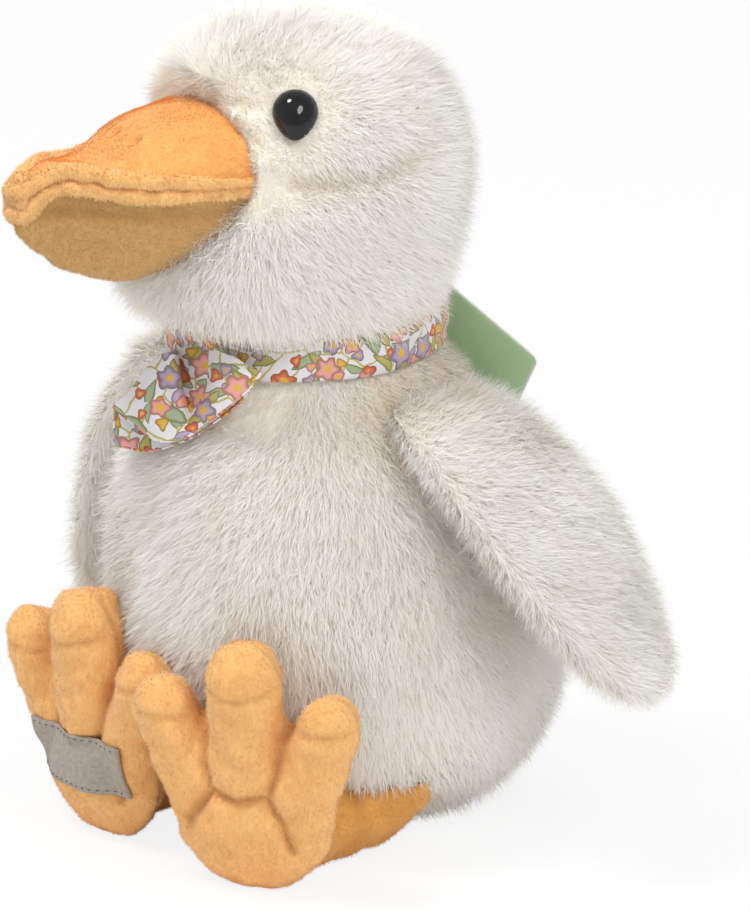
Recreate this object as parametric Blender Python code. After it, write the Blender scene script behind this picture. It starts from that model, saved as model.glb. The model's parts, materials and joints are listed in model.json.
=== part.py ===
"""Sitting plush duck: sewn plush skins over fibre filling, a velour bill and feet, a cloth scarf and a card tag.

Metres, +Z up. The duck sits looking along -Y, with its left side at +X and its head turned a little to its right.
The origin lies on the floor under the neck's axis.
"""

import math

import bmesh
import bpy
from mathutils import Matrix, Vector
from mathutils.bvhtree import BVHTree

MM = 0.001

# Clearances
GAP = 0.3 * MM
FIBRE_PLAY = 0.8 * MM
OVERRUN = 12 * MM

# Cloth thicknesses, each with the dense foot of its pile
PLUSH = 3.5 * MM
VELOUR = 2.4 * MM
COTTON = 1.0 * MM

# Counts of faces round each form
BODY_SIDES = 26
HEAD_SIDES = 26
BILL_SIDES = 16
WING_SIDES = 14
LIMB_SIDES = 10
EYE_SIDES = 12
FOOT_SIDES = 12
PATCH_COLUMNS = 8
PATCH_LINES = 3
LIP_SIDES = 8

# Body: a pear with a flat seat set back under the belly, from the floor up to the neck seam
NECK_HEIGHT = 156 * MM
NECK_RADIUS = 40 * MM
NECK_STRAIGHT = 6.5 * MM
SEAT_HALF_WIDTH = 28 * MM
SEAT_HALF_DEPTH = 32 * MM
SEAT_SET_BACK = 26 * MM
BELLY_HALF_WIDTH = 67 * MM
BELLY_HALF_DEPTH = 69 * MM
BELLY_SET_BACK = 13 * MM
# Each row: height on the way from floor to neck, swell from seat to belly, way from the seat's set-back to the belly's.
SEAT_SWELL_SHARES = ((0.0, 0.0, 0.0), (0.03, 0.19, 0.02), (0.075, 0.44, 0.1), (0.145, 0.72, 0.4), (0.225, 0.91, 0.72))
# Each row: height on the way from floor to neck, swell from neck to belly, set-back.
CHEST_SWELL_SHARES = (
    (0.32, 1.0, 1.0),
    (0.42, 1.0, 0.94),
    (0.52, 0.95, 0.86),
    (0.61, 0.86, 0.75),
    (0.70, 0.71, 0.6),
    (0.78, 0.52, 0.43),
    (0.855, 0.30, 0.24),
    (0.915, 0.11, 0.08),
)

# Head: an egg with full cheeks, on the neck seam
HEAD_HEIGHT = 93 * MM
HEAD_TOP = NECK_HEIGHT + HEAD_HEIGHT
HEAD_COLLAR_SHARE = 0.07
HEAD_HALF_WIDTH = 49.5 * MM
HEAD_HALF_DEPTH = 50.5 * MM
HEAD_SET_FORWARD = 7.5 * MM
HEAD_TURN = math.radians(-21)
# Each row: height on the way from neck seam to top, swell from the neck to the cheeks, set-forward.
CHEEK_SWELL_SHARES = (
    (0.085, 0.36, 0.6),
    (0.13, 0.64, 0.95),
    (0.205, 0.90, 0.92),
    (0.31, 1.02, 0.72),
    (0.44, 1.02, 0.5),
)
# Each row: height on the way from neck seam to top, width, set-forward.
CROWN_SHARES = (
    (0.57, 1.0, 0.35),
    (0.69, 0.95, 0.3),
    (0.79, 0.865, 0.32),
    (0.88, 0.715, 0.45),
    (0.945, 0.52, 0.62),
    (0.985, 0.29, 0.62),
)

# Eyes: a drop-shaped dome on a stem, held by a washer behind the skin
EYE_DIAMETER = 13.5 * MM
EYE_DROP = 2.2 * MM
EYE_DOME = 4.8 * MM
EYE_SUNK = 1.2 * MM
EYE_AZIMUTH = math.radians(63)
EYE_ELEVATION = math.radians(37)
EYE_CENTRE_FORWARD = 3 * MM
EYE_HEIGHT_SHARE = 0.505
STEM_RADIUS = 2.0 * MM
STEM_LENGTH = 13 * MM
WASHER_RADIUS = 8.5 * MM
WASHER_THICKNESS = 1.6 * MM
WASHER_SLACK = 1.2 * MM
DOME_SHARES = ((1.0, 0.0), (1.0, 0.22), (0.93, 0.5), (0.76, 0.76), (0.45, 0.94))

# Bill: measured along the head's own forward line from the neck axis
BILL_REACH = 96 * MM
BILL_ROOT = 24 * MM
BILL_SEAM = 34 * MM
SEAM_FLARE = 25 * MM
FLARE_SLOPE = 1.6
BILL_HALF_WIDTH = 32 * MM
BILL_RIDGE_RISE = HEAD_HEIGHT * 0.215
BILL_BOWL_DEPTH = HEAD_HEIGHT * 0.328
BILL_ROLL = math.radians(8)
MOUTH_RISE = HEAD_HEIGHT * 0.5624
MOUTH_WAVE = 3 * MM
LIP_RADIUS = 2.8 * MM
LIP_SPREAD = 2.6 * MM
LIP_INSET = 1.0 * MM
# Each row: way from root to tip, half width, ridge rise, bowl depth, mouth line's rise on its wave.
BILL_SHARES = (
    (0.0, 1.0, 1.03, 0.86, 0.1),
    (0.2, 1.0, 1.0, 0.92, 0.0),
    (0.37, 0.94, 0.93, 0.97, 0.0),
    (0.52, 0.80, 0.64, 1.0, 0.0),
    (0.64, 0.62, 0.36, 0.98, 0.2),
    (0.72, 0.51, 0.22, 0.95, 0.7),
    (0.79, 0.41, 0.18, 0.90, 0.95),
    (0.87, 0.30, 0.16, 0.68, 0.3),
    (0.94, 0.19, 0.13, 0.46, -0.5),
    (1.0, 0.07, 0.08, 0.24, -0.9),
)

# Wings: flat drops, hung on the shoulder seam. The right one hangs lower.
SHOULDER_OUT = 1.6 * MM
SHOULDER_HEIGHT = NECK_HEIGHT * 0.91
SHOULDER_SET_BACK = 3 * MM
WING_OUT = 66 * MM
WING_DROP = 88 * MM
WING_SWEEP = 33 * MM
WING_ARCH = 12 * MM
WING_HALF_CHORD = 32 * MM
WING_HALF_THICKNESS = 8.5 * MM
WING_TWIST = math.radians(16)
RIGHT_WING_DROP = math.radians(19.5)
RIGHT_WING_SWING = math.radians(15)
# Each row: way from seam to tip, half chord, half thickness.
WING_SHARES = (
    (0.0, 0.60, 0.12),
    (0.05, 0.68, 0.55),
    (0.14, 0.80, 0.92),
    (0.30, 0.95, 1.0),
    (0.50, 1.0, 1.0),
    (0.68, 0.93, 0.95),
    (0.82, 0.78, 0.82),
    (0.92, 0.56, 0.62),
    (0.98, 0.30, 0.36),
)

# Tail: a short upturned wedge
TAIL_HALF_WIDTH = 17 * MM
TAIL_HALF_THICKNESS = 9 * MM
TAIL_HEIGHT = 50 * MM
TAIL_SUNK = 10 * MM
TAIL_LENGTH = 24 * MM
TAIL_RISE = 12 * MM
TAIL_SHARES = ((0.0, 1.0, 1.0), (0.4, 0.95, 0.9), (0.75, 0.72, 0.66), (0.95, 0.36, 0.34))

# Legs and feet: soles look forward, splayed apart
HIP_HALF_SPAN = 50 * MM
HIP_SET_BACK = 1 * MM
HIP_HEIGHT = 27 * MM
HIP_FOLD_BACK = 7 * MM
HIP_FOLD_HEIGHT = 1.5 * MM
LEG_HEIGHT = 12.3 * MM
LEG_RADIUS = 12 * MM
# Each row: way from ankle to hip, way out to the flank, rise, width.
LEG_SHARES = (
    (0.0, 0.0, 0.0, 1.0),
    (0.55, 0.13, 0.02, 1.0),
    (0.80, 0.48, 0.18, 0.9),
    (0.95, 0.82, 0.6, 0.6),
    (1.0, 1.0, 1.0, 0.25),
)
LEFT_FOOT_OUT = 31 * MM
LEFT_FOOT_FORWARD = 53 * MM
LEFT_FOOT_SPLAY = math.radians(21)
RIGHT_FOOT_OUT = 33 * MM
RIGHT_FOOT_FORWARD = 49 * MM
RIGHT_FOOT_SPLAY = math.radians(6)
FOOT_LEAN = math.radians(8)
FOOT_HALF_THICKNESS = 11.5 * MM
PALM_HALF_WIDTH = 25 * MM
PALM_HALF_HEIGHT = 28 * MM
MIDDLE_TOE_TIP = 79 * MM
SIDE_TOE_TIP = 65 * MM
SIDE_TOE_SPREAD = 26.5 * MM
TOE_RADIUS = 8.5 * MM
MIDDLE_TOE_RADIUS = 10.5 * MM
TOE_THICKNESS_SHARE = 0.93
WEB_TOP = 53 * MM
WEB_OUT = 14.5 * MM
WEB_RADIUS = 7 * MM
WEB_HALF_THICKNESS = 6.5 * MM
WEB_SET_BACK = 2 * MM
SOLE_FLAT = 0.5 * MM
PATCH_WIDTH = 40 * MM
PATCH_HEIGHT = 17 * MM
PATCH_RISE = 27 * MM
PATCH_THICKNESS = 1.2 * MM

# Scarf: a folded band, and a gathered bow with its knot
BAND_WIDTH = 11 * MM
BAND_THICKNESS = 1.6 * MM
BOW_HALF_LENGTH = 30 * MM
BOW_HALF_HEIGHT = 14 * MM
BOW_HALF_THICKNESS = 5 * MM
BOW_DROP = 15 * MM
BOW_SIDEWAYS = -2 * MM
BOW_TILT = math.radians(-24)
BOW_LEAN = math.radians(-14)
# Each row: way from the lower end to the upper one, height, thickness.
BOW_SHARES = (
    (0.0, 0.34, 0.3),
    (0.10, 0.60, 0.8),
    (0.27, 0.92, 1.0),
    (0.40, 1.0, 0.85),
    (0.47, 1.0, 0.4),
    (0.54, 1.0, 0.85),
    (0.68, 0.88, 1.0),
    (0.87, 0.46, 0.75),
    (1.0, 0.12, 0.2),
)
KNOT_HALF_WIDTH = 6 * MM
KNOT_HALF_HEIGHT = 7 * MM
KNOT_HALF_THICKNESS = 2.2 * MM
KNOT_DROP = 4 * MM

# Card tag and its pin
CARD_LENGTH = 47 * MM
CARD_WIDTH = 30 * MM
CARD_THICKNESS = 0.8 * MM
CARD_CORNER = 3 * MM
CARD_TILT = math.radians(36)
CARD_LEAN = math.radians(20)
CARD_HOLE_INSET = 6 * MM
CARD_HOLE_RADIUS = 1.6 * MM
CARD_STAND_OFF = 9 * MM
CARD_DROP = 6 * MM
PIN_DROP = 4 * MM
PIN_RADIUS = 0.7 * MM
PIN_BALL_RADIUS = 1.1 * MM
PIN_HEAD_RADIUS = 2.8 * MM
PIN_HEAD_THICKNESS = 0.9 * MM

# Bag of pellets in the seat
PELLET_PLAY = 1.5 * MM
PELLET_HEIGHT = 18 * MM
# Each row: way up the bag, width.
PELLET_SHARES = ((0.0, 0.88), (0.3, 1.0), (0.65, 0.92), (0.9, 0.6))

COLOURS = {
    "plush": ((0.86, 0.83, 0.76, 1), 0.95),
    "fibre": ((0.90, 0.90, 0.88, 1), 1.0),
    "orange_velour": ((0.95, 0.52, 0.18, 1), 0.9),
    "tan_velour": ((0.66, 0.39, 0.16, 1), 0.9),
    "foot_velour": ((0.93, 0.60, 0.27, 1), 0.9),
    "eye_plastic": ((0.01, 0.01, 0.012, 1), 0.08),
    "washer_plastic": ((0.75, 0.75, 0.72, 1), 0.5),
    "print_cotton": ((0.80, 0.70, 0.62, 1), 0.8),
    "patch_cloth": ((0.36, 0.33, 0.30, 1), 0.85),
    "green_card": ((0.24, 0.46, 0.25, 1), 0.6),
    "pellet_cloth": ((0.70, 0.70, 0.68, 1), 0.9),
}


def clear_scene():
    for old in list(bpy.data.objects):
        bpy.data.objects.remove(old, do_unlink=True)


def material(name):
    """The named material, made once."""
    found = bpy.data.materials.get(name)
    if found:
        return found
    colour, roughness = COLOURS[name]
    made = bpy.data.materials.new(name)
    made.use_nodes = True
    shader = made.node_tree.nodes["Principled BSDF"]
    shader.inputs["Base Color"].default_value = colour
    shader.inputs["Roughness"].default_value = roughness
    return made


def add_object(name, mesh, finish=None):
    """The bmesh as an object, faces out and shaded smooth. With no finish it is a hidden helper."""
    bmesh.ops.recalc_face_normals(mesh, faces=mesh.faces[:])
    data = bpy.data.meshes.new(name)
    mesh.to_mesh(data)
    mesh.free()
    data.shade_smooth()
    data.set_sharp_from_angle(angle=math.radians(50))
    made = bpy.data.objects.new(name, data)
    bpy.context.scene.collection.objects.link(made)
    if finish:
        data.materials.append(material(finish))
    else:
        made.hide_render = True
        made.display_type = "WIRE"
    return made


def carve(target, *cutters):
    """Cuts each cutter's room out of the target."""
    for cutter in cutters:
        cut = target.modifiers.new(cutter.name, "BOOLEAN")
        cut.operation = "DIFFERENCE"
        cut.object = cutter


def oval(centre, reach_u, reach_v, sides):
    """Points round an ellipse whose half axes are the two vectors."""
    turns = [2 * math.pi * step / sides for step in range(sides)]
    return [centre + math.cos(turn) * reach_u + math.sin(turn) * reach_v for turn in turns]


def loft_into(mesh, rings, first_tip=None, last_tip=None):
    """One closed skin over rings of equal count, its ends flat or drawn to a tip."""
    rows = [[mesh.verts.new(point) for point in ring] for ring in rings]
    for row, following in zip(rows, rows[1:]):
        for step in range(len(row)):
            mesh.faces.new((row[step - 1], row[step], following[step]))
            mesh.faces.new((row[step - 1], following[step], following[step - 1]))
    for row, tip in ((rows[0], first_tip), (rows[-1], last_tip)):
        if tip is None:
            mesh.faces.new(row)
            continue
        point = mesh.verts.new(tip)
        for step in range(len(row)):
            mesh.faces.new((row[step - 1], row[step], point))


def loft(name, rings, finish=None, first_tip=None, last_tip=None):
    mesh = bmesh.new()
    loft_into(mesh, rings, first_tip, last_tip)
    return add_object(name, mesh, finish)


def shrink(made, depth, base):
    """Moves an object's walls in along their normals. What lies at the base height stays at that height."""
    mesh = bmesh.new()
    mesh.from_mesh(made.data)
    mesh.normal_update()
    moves = [vert.normal * vert.calc_shell_factor() * depth for vert in mesh.verts]
    for vert, move in zip(mesh.verts, moves):
        if abs(vert.co.z - base) < GAP / 2:
            move = Vector((move.x, move.y, 0))
        vert.co -= move
    mesh.to_mesh(made.data)
    mesh.free()


def turned(made, angle):
    """Turns an object's mesh about the neck axis."""
    made.data.transform(Matrix.Rotation(angle, 4, "Z"))
    return made


def level_ring(height, middle, half_width, half_depth, sides):
    return oval(Vector((0, middle, height)), Vector((half_width, 0, 0)), Vector((0, half_depth, 0)), sides)


def between(low, high, share):
    return low + (high - low) * share


def body_outline():
    """Rows of the body's height, middle, half width and half depth, from seat to neck."""
    rows = []
    for height_share, swell_share, way_share in SEAT_SWELL_SHARES:
        middle = between(SEAT_SET_BACK, BELLY_SET_BACK, way_share)
        half_width = between(SEAT_HALF_WIDTH, BELLY_HALF_WIDTH, swell_share)
        half_depth = between(SEAT_HALF_DEPTH, BELLY_HALF_DEPTH, swell_share)
        rows.append((NECK_HEIGHT * height_share, middle, half_width, half_depth))
    for height_share, swell_share, back_share in CHEST_SWELL_SHARES:
        half_width = between(NECK_RADIUS, BELLY_HALF_WIDTH, swell_share)
        half_depth = between(NECK_RADIUS, BELLY_HALF_DEPTH, swell_share)
        rows.append((NECK_HEIGHT * height_share, BELLY_SET_BACK * back_share, half_width, half_depth))
    rows.append((NECK_HEIGHT - NECK_STRAIGHT, 0.0, NECK_RADIUS, NECK_RADIUS))
    rows.append((NECK_HEIGHT, 0.0, NECK_RADIUS, NECK_RADIUS))
    return rows


def head_outline():
    """Rows of the head's height, middle, half width and half depth, from neck seam to crown, looking ahead."""
    rows = [(NECK_HEIGHT, 0.0, NECK_RADIUS, NECK_RADIUS)]
    rows.append((NECK_HEIGHT + HEAD_HEIGHT * HEAD_COLLAR_SHARE, 0.0, NECK_RADIUS, NECK_RADIUS))
    for height_share, swell_share, forward_share in CHEEK_SWELL_SHARES:
        height = between(NECK_HEIGHT, HEAD_TOP, height_share)
        half_width = between(NECK_RADIUS, HEAD_HALF_WIDTH, swell_share)
        half_depth = between(NECK_RADIUS, HEAD_HALF_DEPTH, swell_share)
        rows.append((height, -HEAD_SET_FORWARD * forward_share, half_width, half_depth))
    for height_share, width_share, forward_share in CROWN_SHARES:
        height = between(NECK_HEIGHT, HEAD_TOP, height_share)
        half_width = HEAD_HALF_WIDTH * width_share
        half_depth = HEAD_HALF_DEPTH * width_share
        rows.append((height, -HEAD_SET_FORWARD * forward_share, half_width, half_depth))
    return rows


def section_at(rows, height):
    """The middle, half width and half depth of an outline at a height, read between its rows."""
    for low, high in zip(rows, rows[1:]):
        if height <= high[0]:
            share = max(0.0, (height - low[0]) / (high[0] - low[0]))
            return [between(under, over, share) for under, over in zip(low[1:], high[1:])]
    return list(rows[-1][1:])


def grown_outline(rows, grow, upright):
    """The outline moved out by grow, square to its own slope. Its upright rows only move sideways."""
    grown = []
    for index, (height, middle, half_width, half_depth) in enumerate(rows):
        under = rows[max(index - 1, 0)]
        over = rows[min(index + 1, len(rows) - 1)]
        rise = over[0] - under[0]
        swell = (over[2] + over[3] - under[2] - under[3]) / 2
        slope = math.hypot(rise, swell)
        out = grow if index in upright else grow * rise / slope
        up = 0 if index in upright else -grow * swell / slope
        grown.append((height + up, middle, half_width + out, half_depth + out))
    return grown


def body_rings(grow=0.0, top=NECK_HEIGHT):
    """The body's outline as rings, its walls moved out by grow."""
    rows = body_outline()
    last = len(rows) - 1
    rows = grown_outline(rows, grow, (0, last - 1, last))
    rows[-1] = (top, *rows[-1][1:])
    return [level_ring(height, middle, wide, deep, BODY_SIDES) for height, middle, wide, deep in rows]


def lifted_seat(rings, rise):
    """The rings with the lowest one raised, for what lies on the seat."""
    kept = [ring for ring in rings if ring[0].z > rise]
    seat = [Vector((point.x, point.y, rise)) for point in rings[0]]
    return [seat] + kept


def head_rings(grow=0.0):
    """The head's outline as rings, its walls moved out by grow."""
    rows = grown_outline(head_outline(), grow, (0, 1))
    rings = [level_ring(height, middle, wide, deep, HEAD_SIDES) for height, middle, wide, deep in rows]
    return [[seated_brow(point, grow) for point in ring] for ring in rings]


def seated_brow(point, grow):
    """Draws the head's front back to the bill's seam, which flares out round the bill's upper root."""
    mouth = NECK_HEIGHT + MOUTH_RISE
    across = point.x / BILL_HALF_WIDTH
    up = (point.z - mouth) / (BILL_RIDGE_RISE if point.z > mouth else BILL_BOWL_DEPTH)
    beyond = max(0.0, math.hypot(across, up) - 1)
    allowed = BILL_SEAM + SEAM_FLARE * beyond + grow * FLARE_SLOPE
    hold = min(1.0, max(0.0, (up * BILL_BOWL_DEPTH + BILL_RIDGE_RISE) / BILL_RIDGE_RISE)) if up < 0 else 1.0
    drawn = max(0.0, -point.y - allowed) * hold
    return Vector((point.x, point.y + drawn, point.z))


def head_crown(grow=0.0):
    return Vector((0, -HEAD_SET_FORWARD * CROWN_SHARES[-1][-1], HEAD_TOP + grow))


def build_body():
    """The body's skin, its filling and the bag of pellets under it. Returns the envelope that limbs are cut by."""
    seam = NECK_HEIGHT - GAP
    outer = body_rings(top=seam)
    inner = lifted_seat(body_rings(-PLUSH, seam), PLUSH)
    loft("body_skin", outer + inner[::-1], "plush")
    bag_base = PLUSH + GAP
    core = lifted_seat(body_rings(-bag_base, seam), bag_base)
    filling = loft("body_filling", core[::-1], "fibre")
    half_width = SEAT_HALF_WIDTH - PLUSH - PELLET_PLAY
    half_depth = SEAT_HALF_DEPTH - PLUSH - PELLET_PLAY

    def bag_rings(grow, base):
        rings = []
        for rise_share, width_share in PELLET_SHARES:
            wide = half_width * width_share + grow
            deep = half_depth * width_share + grow
            height = bag_base + PELLET_HEIGHT * rise_share + grow if rise_share else base
            rings.append(level_ring(height, SEAT_SET_BACK, wide, deep, LIMB_SIDES))
        return rings

    crown = Vector((0, SEAT_SET_BACK, bag_base + PELLET_HEIGHT))
    loft("pellet_bag", bag_rings(0, bag_base), "pellet_cloth", last_tip=crown)
    room = loft("pellet_room", bag_rings(GAP, 0), last_tip=crown + Vector((0, 0, GAP * 2)))
    carve(filling, room)
    return loft("body_envelope", body_rings(GAP))


def build_head():
    """The head's skin and filling. Returns them with the envelope that the bill is cut by."""
    inner = head_rings(-PLUSH)
    skin = loft("head_skin", inner[::-1] + head_rings(), "plush", head_crown(-PLUSH), head_crown())
    filling = loft("head_filling", inner[::-1], "fibre", first_tip=head_crown(-PLUSH))
    shrink(filling, FIBRE_PLAY, NECK_HEIGHT)
    envelope = loft("head_envelope", head_rings(GAP), last_tip=head_crown(GAP))
    for part in (skin, filling, envelope):
        turned(part, HEAD_TURN)
    return skin, filling, envelope


def eye_frame(side):
    """Place and turn of an eye on the head's outline: its own Z looks out, and its own Y points up the face."""
    azimuth = side * EYE_AZIMUTH
    level = math.cos(EYE_ELEVATION)
    outward = Vector((math.sin(azimuth) * level, -math.cos(azimuth) * level, math.sin(EYE_ELEVATION)))
    centre = Vector((0, -EYE_CENTRE_FORWARD, between(NECK_HEIGHT, HEAD_TOP, EYE_HEIGHT_SHARE)))
    outline = head_outline()
    inside = 0.0
    outside = HEAD_HALF_WIDTH + HEAD_HALF_DEPTH
    for _ in range(30):
        reach = (inside + outside) / 2
        point = centre + outward * reach
        middle, half_width, half_depth = section_at(outline, point.z)
        if (point.x / half_width) ** 2 + ((point.y - middle) / half_depth) ** 2 < 1:
            inside = reach
        else:
            outside = reach
    place = centre + outward * (inside - EYE_SUNK)
    across = Vector((0, 0, 1)).cross(outward).normalized()
    upward = outward.cross(across)
    turn = Matrix((across, upward, outward)).transposed().to_4x4()
    return Matrix.Rotation(HEAD_TURN, 4, "Z") @ Matrix.Translation(place) @ turn


def drop_ring(radius, height, grow):
    """A circle with its lower edge drawn down into a soft point."""
    ring = []
    for step in range(EYE_SIDES):
        turn = 2 * math.pi * step / EYE_SIDES
        point = Vector((math.cos(turn), math.sin(turn), 0)) * (radius + grow)
        drawn = max(0.0, -math.sin(turn)) ** 3
        ring.append(point + Vector((0, -EYE_DROP * drawn * radius * 2 / EYE_DIAMETER, height)))
    return ring


def eye_shape(name, side, grow, finish=None):
    """The eye's dome and stem as one turned piece."""
    stem = STEM_RADIUS + grow
    rings = [
        oval(Vector((0, 0, depth)), Vector((stem, 0, 0)), Vector((0, stem, 0)), EYE_SIDES)
        for depth in (-STEM_LENGTH - grow, -grow)
    ]
    for width_share, rise_share in DOME_SHARES:
        height = EYE_DOME * rise_share + (grow if rise_share else -grow)
        rings.append(drop_ring(EYE_DIAMETER / 2 * width_share, height, grow))
    made = loft(name, rings, finish, last_tip=Vector((0, 0, EYE_DOME + grow)))
    made.data.transform(eye_frame(side))
    return made


def disc_ring(radius, height):
    return oval(Vector((0, 0, height)), Vector((radius, 0, 0)), Vector((0, radius, 0)), EYE_SIDES)


def closed_profile(name, rows, finish=None):
    """A ring-shaped piece: each row is a circle of points, and the last row joins the first."""
    mesh = bmesh.new()
    placed = [[mesh.verts.new(point) for point in row] for row in rows]
    for row, following in zip(placed, placed[1:] + placed[:1]):
        for step in range(len(row)):
            mesh.faces.new((row[step - 1], row[step], following[step], following[step - 1]))
    return add_object(name, mesh, finish)


def build_eyes(skin, filling):
    """Eyes with their stems, and a washer on each stem behind the skin."""
    for side, word in ((1, "left"), (-1, "right")):
        eye_shape(f"eye_{word}", side, 0, "eye_plastic")
        room = eye_shape(f"eye_room_{word}", side, GAP)
        top = EYE_SUNK - PLUSH - WASHER_SLACK - WASHER_RADIUS ** 2 / HEAD_HALF_WIDTH - GAP
        bottom = top - WASHER_THICKNESS
        bore = STEM_RADIUS + GAP
        corners = ((WASHER_RADIUS, bottom), (WASHER_RADIUS, top), (bore, top), (bore, bottom))
        washer = closed_profile(f"eye_washer_{word}", [disc_ring(*corner) for corner in corners], "washer_plastic")
        rim = WASHER_RADIUS + GAP
        washer_room = loft(f"washer_room_{word}", [disc_ring(rim, bottom - GAP), disc_ring(rim, EYE_DOME)])
        for made in (washer, washer_room):
            made.data.transform(eye_frame(side))
        carve(skin, room)
        carve(filling, room, washer_room)


def bill_station(row):
    """One section of the bill: its roll, place on the forward line, half width, mouth height, rise and depth."""
    way_share, width_share, ridge_share, bowl_share, wave_share = row
    return (
        BILL_ROLL * way_share,
        -between(BILL_ROOT, BILL_REACH, way_share),
        BILL_HALF_WIDTH * width_share,
        NECK_HEIGHT + MOUTH_RISE + MOUTH_WAVE * wave_share,
        BILL_RIDGE_RISE * ridge_share,
        BILL_BOWL_DEPTH * bowl_share,
    )


def rolled(across, forward, height, roll):
    """A point of the bill turned about the middle of the mouth line."""
    middle = NECK_HEIGHT + MOUTH_RISE
    up = height - middle
    return Vector((
        across * math.cos(roll) - up * math.sin(roll),
        forward,
        middle + across * math.sin(roll) + up * math.cos(roll),
    ))


def bill_half(name, way, inset, lift, skirt, finish=None):
    """The upper (way 1) or lower (way -1) half of the bill. Its walls move in by inset, its mouth face by lift,
    and a skirt runs it past the mouth line."""
    rings = []
    for row in BILL_SHARES:
        roll, forward, half_width, mouth, rise, depth = bill_station(row)
        height = rise if way == 1 else depth
        wide = max(half_width - inset, GAP * 2)
        tall = max(height - inset - lift, GAP * 2)
        back = inset if row is BILL_SHARES[-1] else skirt if row is BILL_SHARES[0] else 0
        base = mouth + way * lift
        points = []
        for step in range(BILL_SIDES + 1):
            turn = math.pi * step / BILL_SIDES
            points.append(rolled(math.cos(turn) * wide, forward + back, base + way * math.sin(turn) * tall, roll))
        if skirt:
            points.append(rolled(-wide, forward + back, base - way * skirt, roll))
            points.append(rolled(wide, forward + back, base - way * skirt, roll))
        rings.append(points)
    return turned(loft(name, rings, finish), HEAD_TURN)


def bill_core(name, inset, finish):
    """Both halves of the bill as one solid, its walls moved in by inset."""
    rings = []
    for row in BILL_SHARES[:-1]:
        roll, forward, half_width, mouth, rise, depth = bill_station(row)
        points = []
        for step in range(BILL_SIDES):
            turn = 2 * math.pi * step / BILL_SIDES
            tall = max((rise if step < BILL_SIDES / 2 else depth) - inset, GAP)
            wide = max(half_width - inset, GAP)
            points.append(rolled(math.cos(turn) * wide, forward, mouth + math.sin(turn) * tall, roll))
        rings.append(points)
    return turned(loft(name, rings, finish), HEAD_TURN)


def lip_path(way):
    """Points along one lip roll, from one corner of the mouth round the tip to the other."""
    near = []
    far = []
    for row in BILL_SHARES[:-1]:
        roll, forward, half_width, mouth, _, _ = bill_station(row)
        edge = half_width - LIP_INSET
        height = mouth + way * LIP_SPREAD
        near.append(rolled(edge, forward, height, roll))
        far.append(rolled(-edge, forward, height, roll))
    roll, forward, _, mouth, _, _ = bill_station(BILL_SHARES[-1])
    return near + [rolled(0, forward, mouth + way * LIP_SPREAD, roll)] + far[::-1]


def tube(name, path, radius, sides, finish=None, shares=None):
    """A round tube along a path, each ring square to the path and as wide as its share says."""
    rings = []
    for index, point in enumerate(path):
        ahead = path[min(index + 1, len(path) - 1)] - path[max(index - 1, 0)]
        side = ahead.cross(Vector((0, 0, 1))).normalized()
        lift = side.cross(ahead).normalized()
        share = shares[index] if shares else 1.0
        rings.append(oval(point, side * radius * share, lift * radius * share, sides))
    return loft(name, rings, finish)


def build_bill(head_envelope):
    """Two velour covers, their rolled lips and the filling between them."""
    upper = bill_half("upper_bill", 1, 0, LIP_SPREAD, 0, "orange_velour")
    lower = bill_half("lower_bill", -1, 0, LIP_SPREAD, 0, "tan_velour")
    carve(upper, bill_half("upper_bill_hollow", 1, VELOUR, 0, OVERRUN))
    carve(lower, bill_half("lower_bill_hollow", -1, VELOUR, 0, OVERRUN))
    filling = bill_core("bill_filling", VELOUR + GAP * 2, "fibre")
    lips = []
    rooms = []
    for way, word, finish in ((1, "upper", "orange_velour"), (-1, "lower", "tan_velour")):
        lips.append(turned(tube(f"{word}_lip", lip_path(way), LIP_RADIUS, LIP_SIDES, finish), HEAD_TURN))
        room = tube(f"{word}_lip_room", lip_path(way), LIP_RADIUS + GAP, LIP_SIDES)
        rooms.append(turned(room, HEAD_TURN))
        carve(lips[-1], head_envelope)
    carve(lips[1], rooms[0])
    carve(upper, *rooms, head_envelope)
    carve(lower, *rooms, head_envelope)
    carve(filling, *rooms, head_envelope)


def shoulder_line():
    """Where the left wing's seam lies, beside the body's outline."""
    _, half_width, _ = section_at(body_outline(), SHOULDER_HEIGHT)
    return Vector((half_width + SHOULDER_OUT, SHOULDER_SET_BACK, SHOULDER_HEIGHT))


def hung(points, side):
    """Points of the left wing, or mirrored and dropped about its seam for the right one."""
    if side == 1:
        return points
    seam = shoulder_line()
    seam.x = -seam.x
    drop = Matrix.Rotation(-RIGHT_WING_SWING, 3, "X") @ Matrix.Rotation(-RIGHT_WING_DROP, 3, "Y")
    return [seam + drop @ (Vector((-point.x, point.y, point.z)) - seam) for point in points]


def wing_section(row, side, grow):
    """One section of a wing: an oval across the wing at its way from seam to tip."""
    way_share, chord_share, thick_share = row
    span = Vector((WING_OUT, WING_SWEEP, -WING_DROP))
    along = span.normalized()
    level_chord = Vector((0, 1, 0))
    outward = along.cross(level_chord).normalized()
    outward = -outward if outward.x < 0 else outward
    arch = WING_ARCH * math.sin(math.pi * way_share) * (1 - way_share)
    centre = shoulder_line() + span * way_share + outward * arch
    chord = (level_chord - along * level_chord.dot(along) * way_share).normalized()
    chord = Matrix.Rotation(-WING_TWIST * way_share, 3, along) @ chord
    normal = along.cross(chord).normalized()
    least = PLUSH + grow + GAP * 2 if grow else 0
    half_chord = WING_HALF_CHORD * chord_share + grow
    half_thick = max(WING_HALF_THICKNESS * thick_share + grow, least)
    return hung(oval(centre, chord * half_chord, normal * half_thick, WING_SIDES), side)


def wing_tip(side, grow):
    span = Vector((WING_OUT, WING_SWEEP, -WING_DROP))
    return hung([shoulder_line() + span * (1 + grow / WING_DROP)], side)[0]


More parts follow.
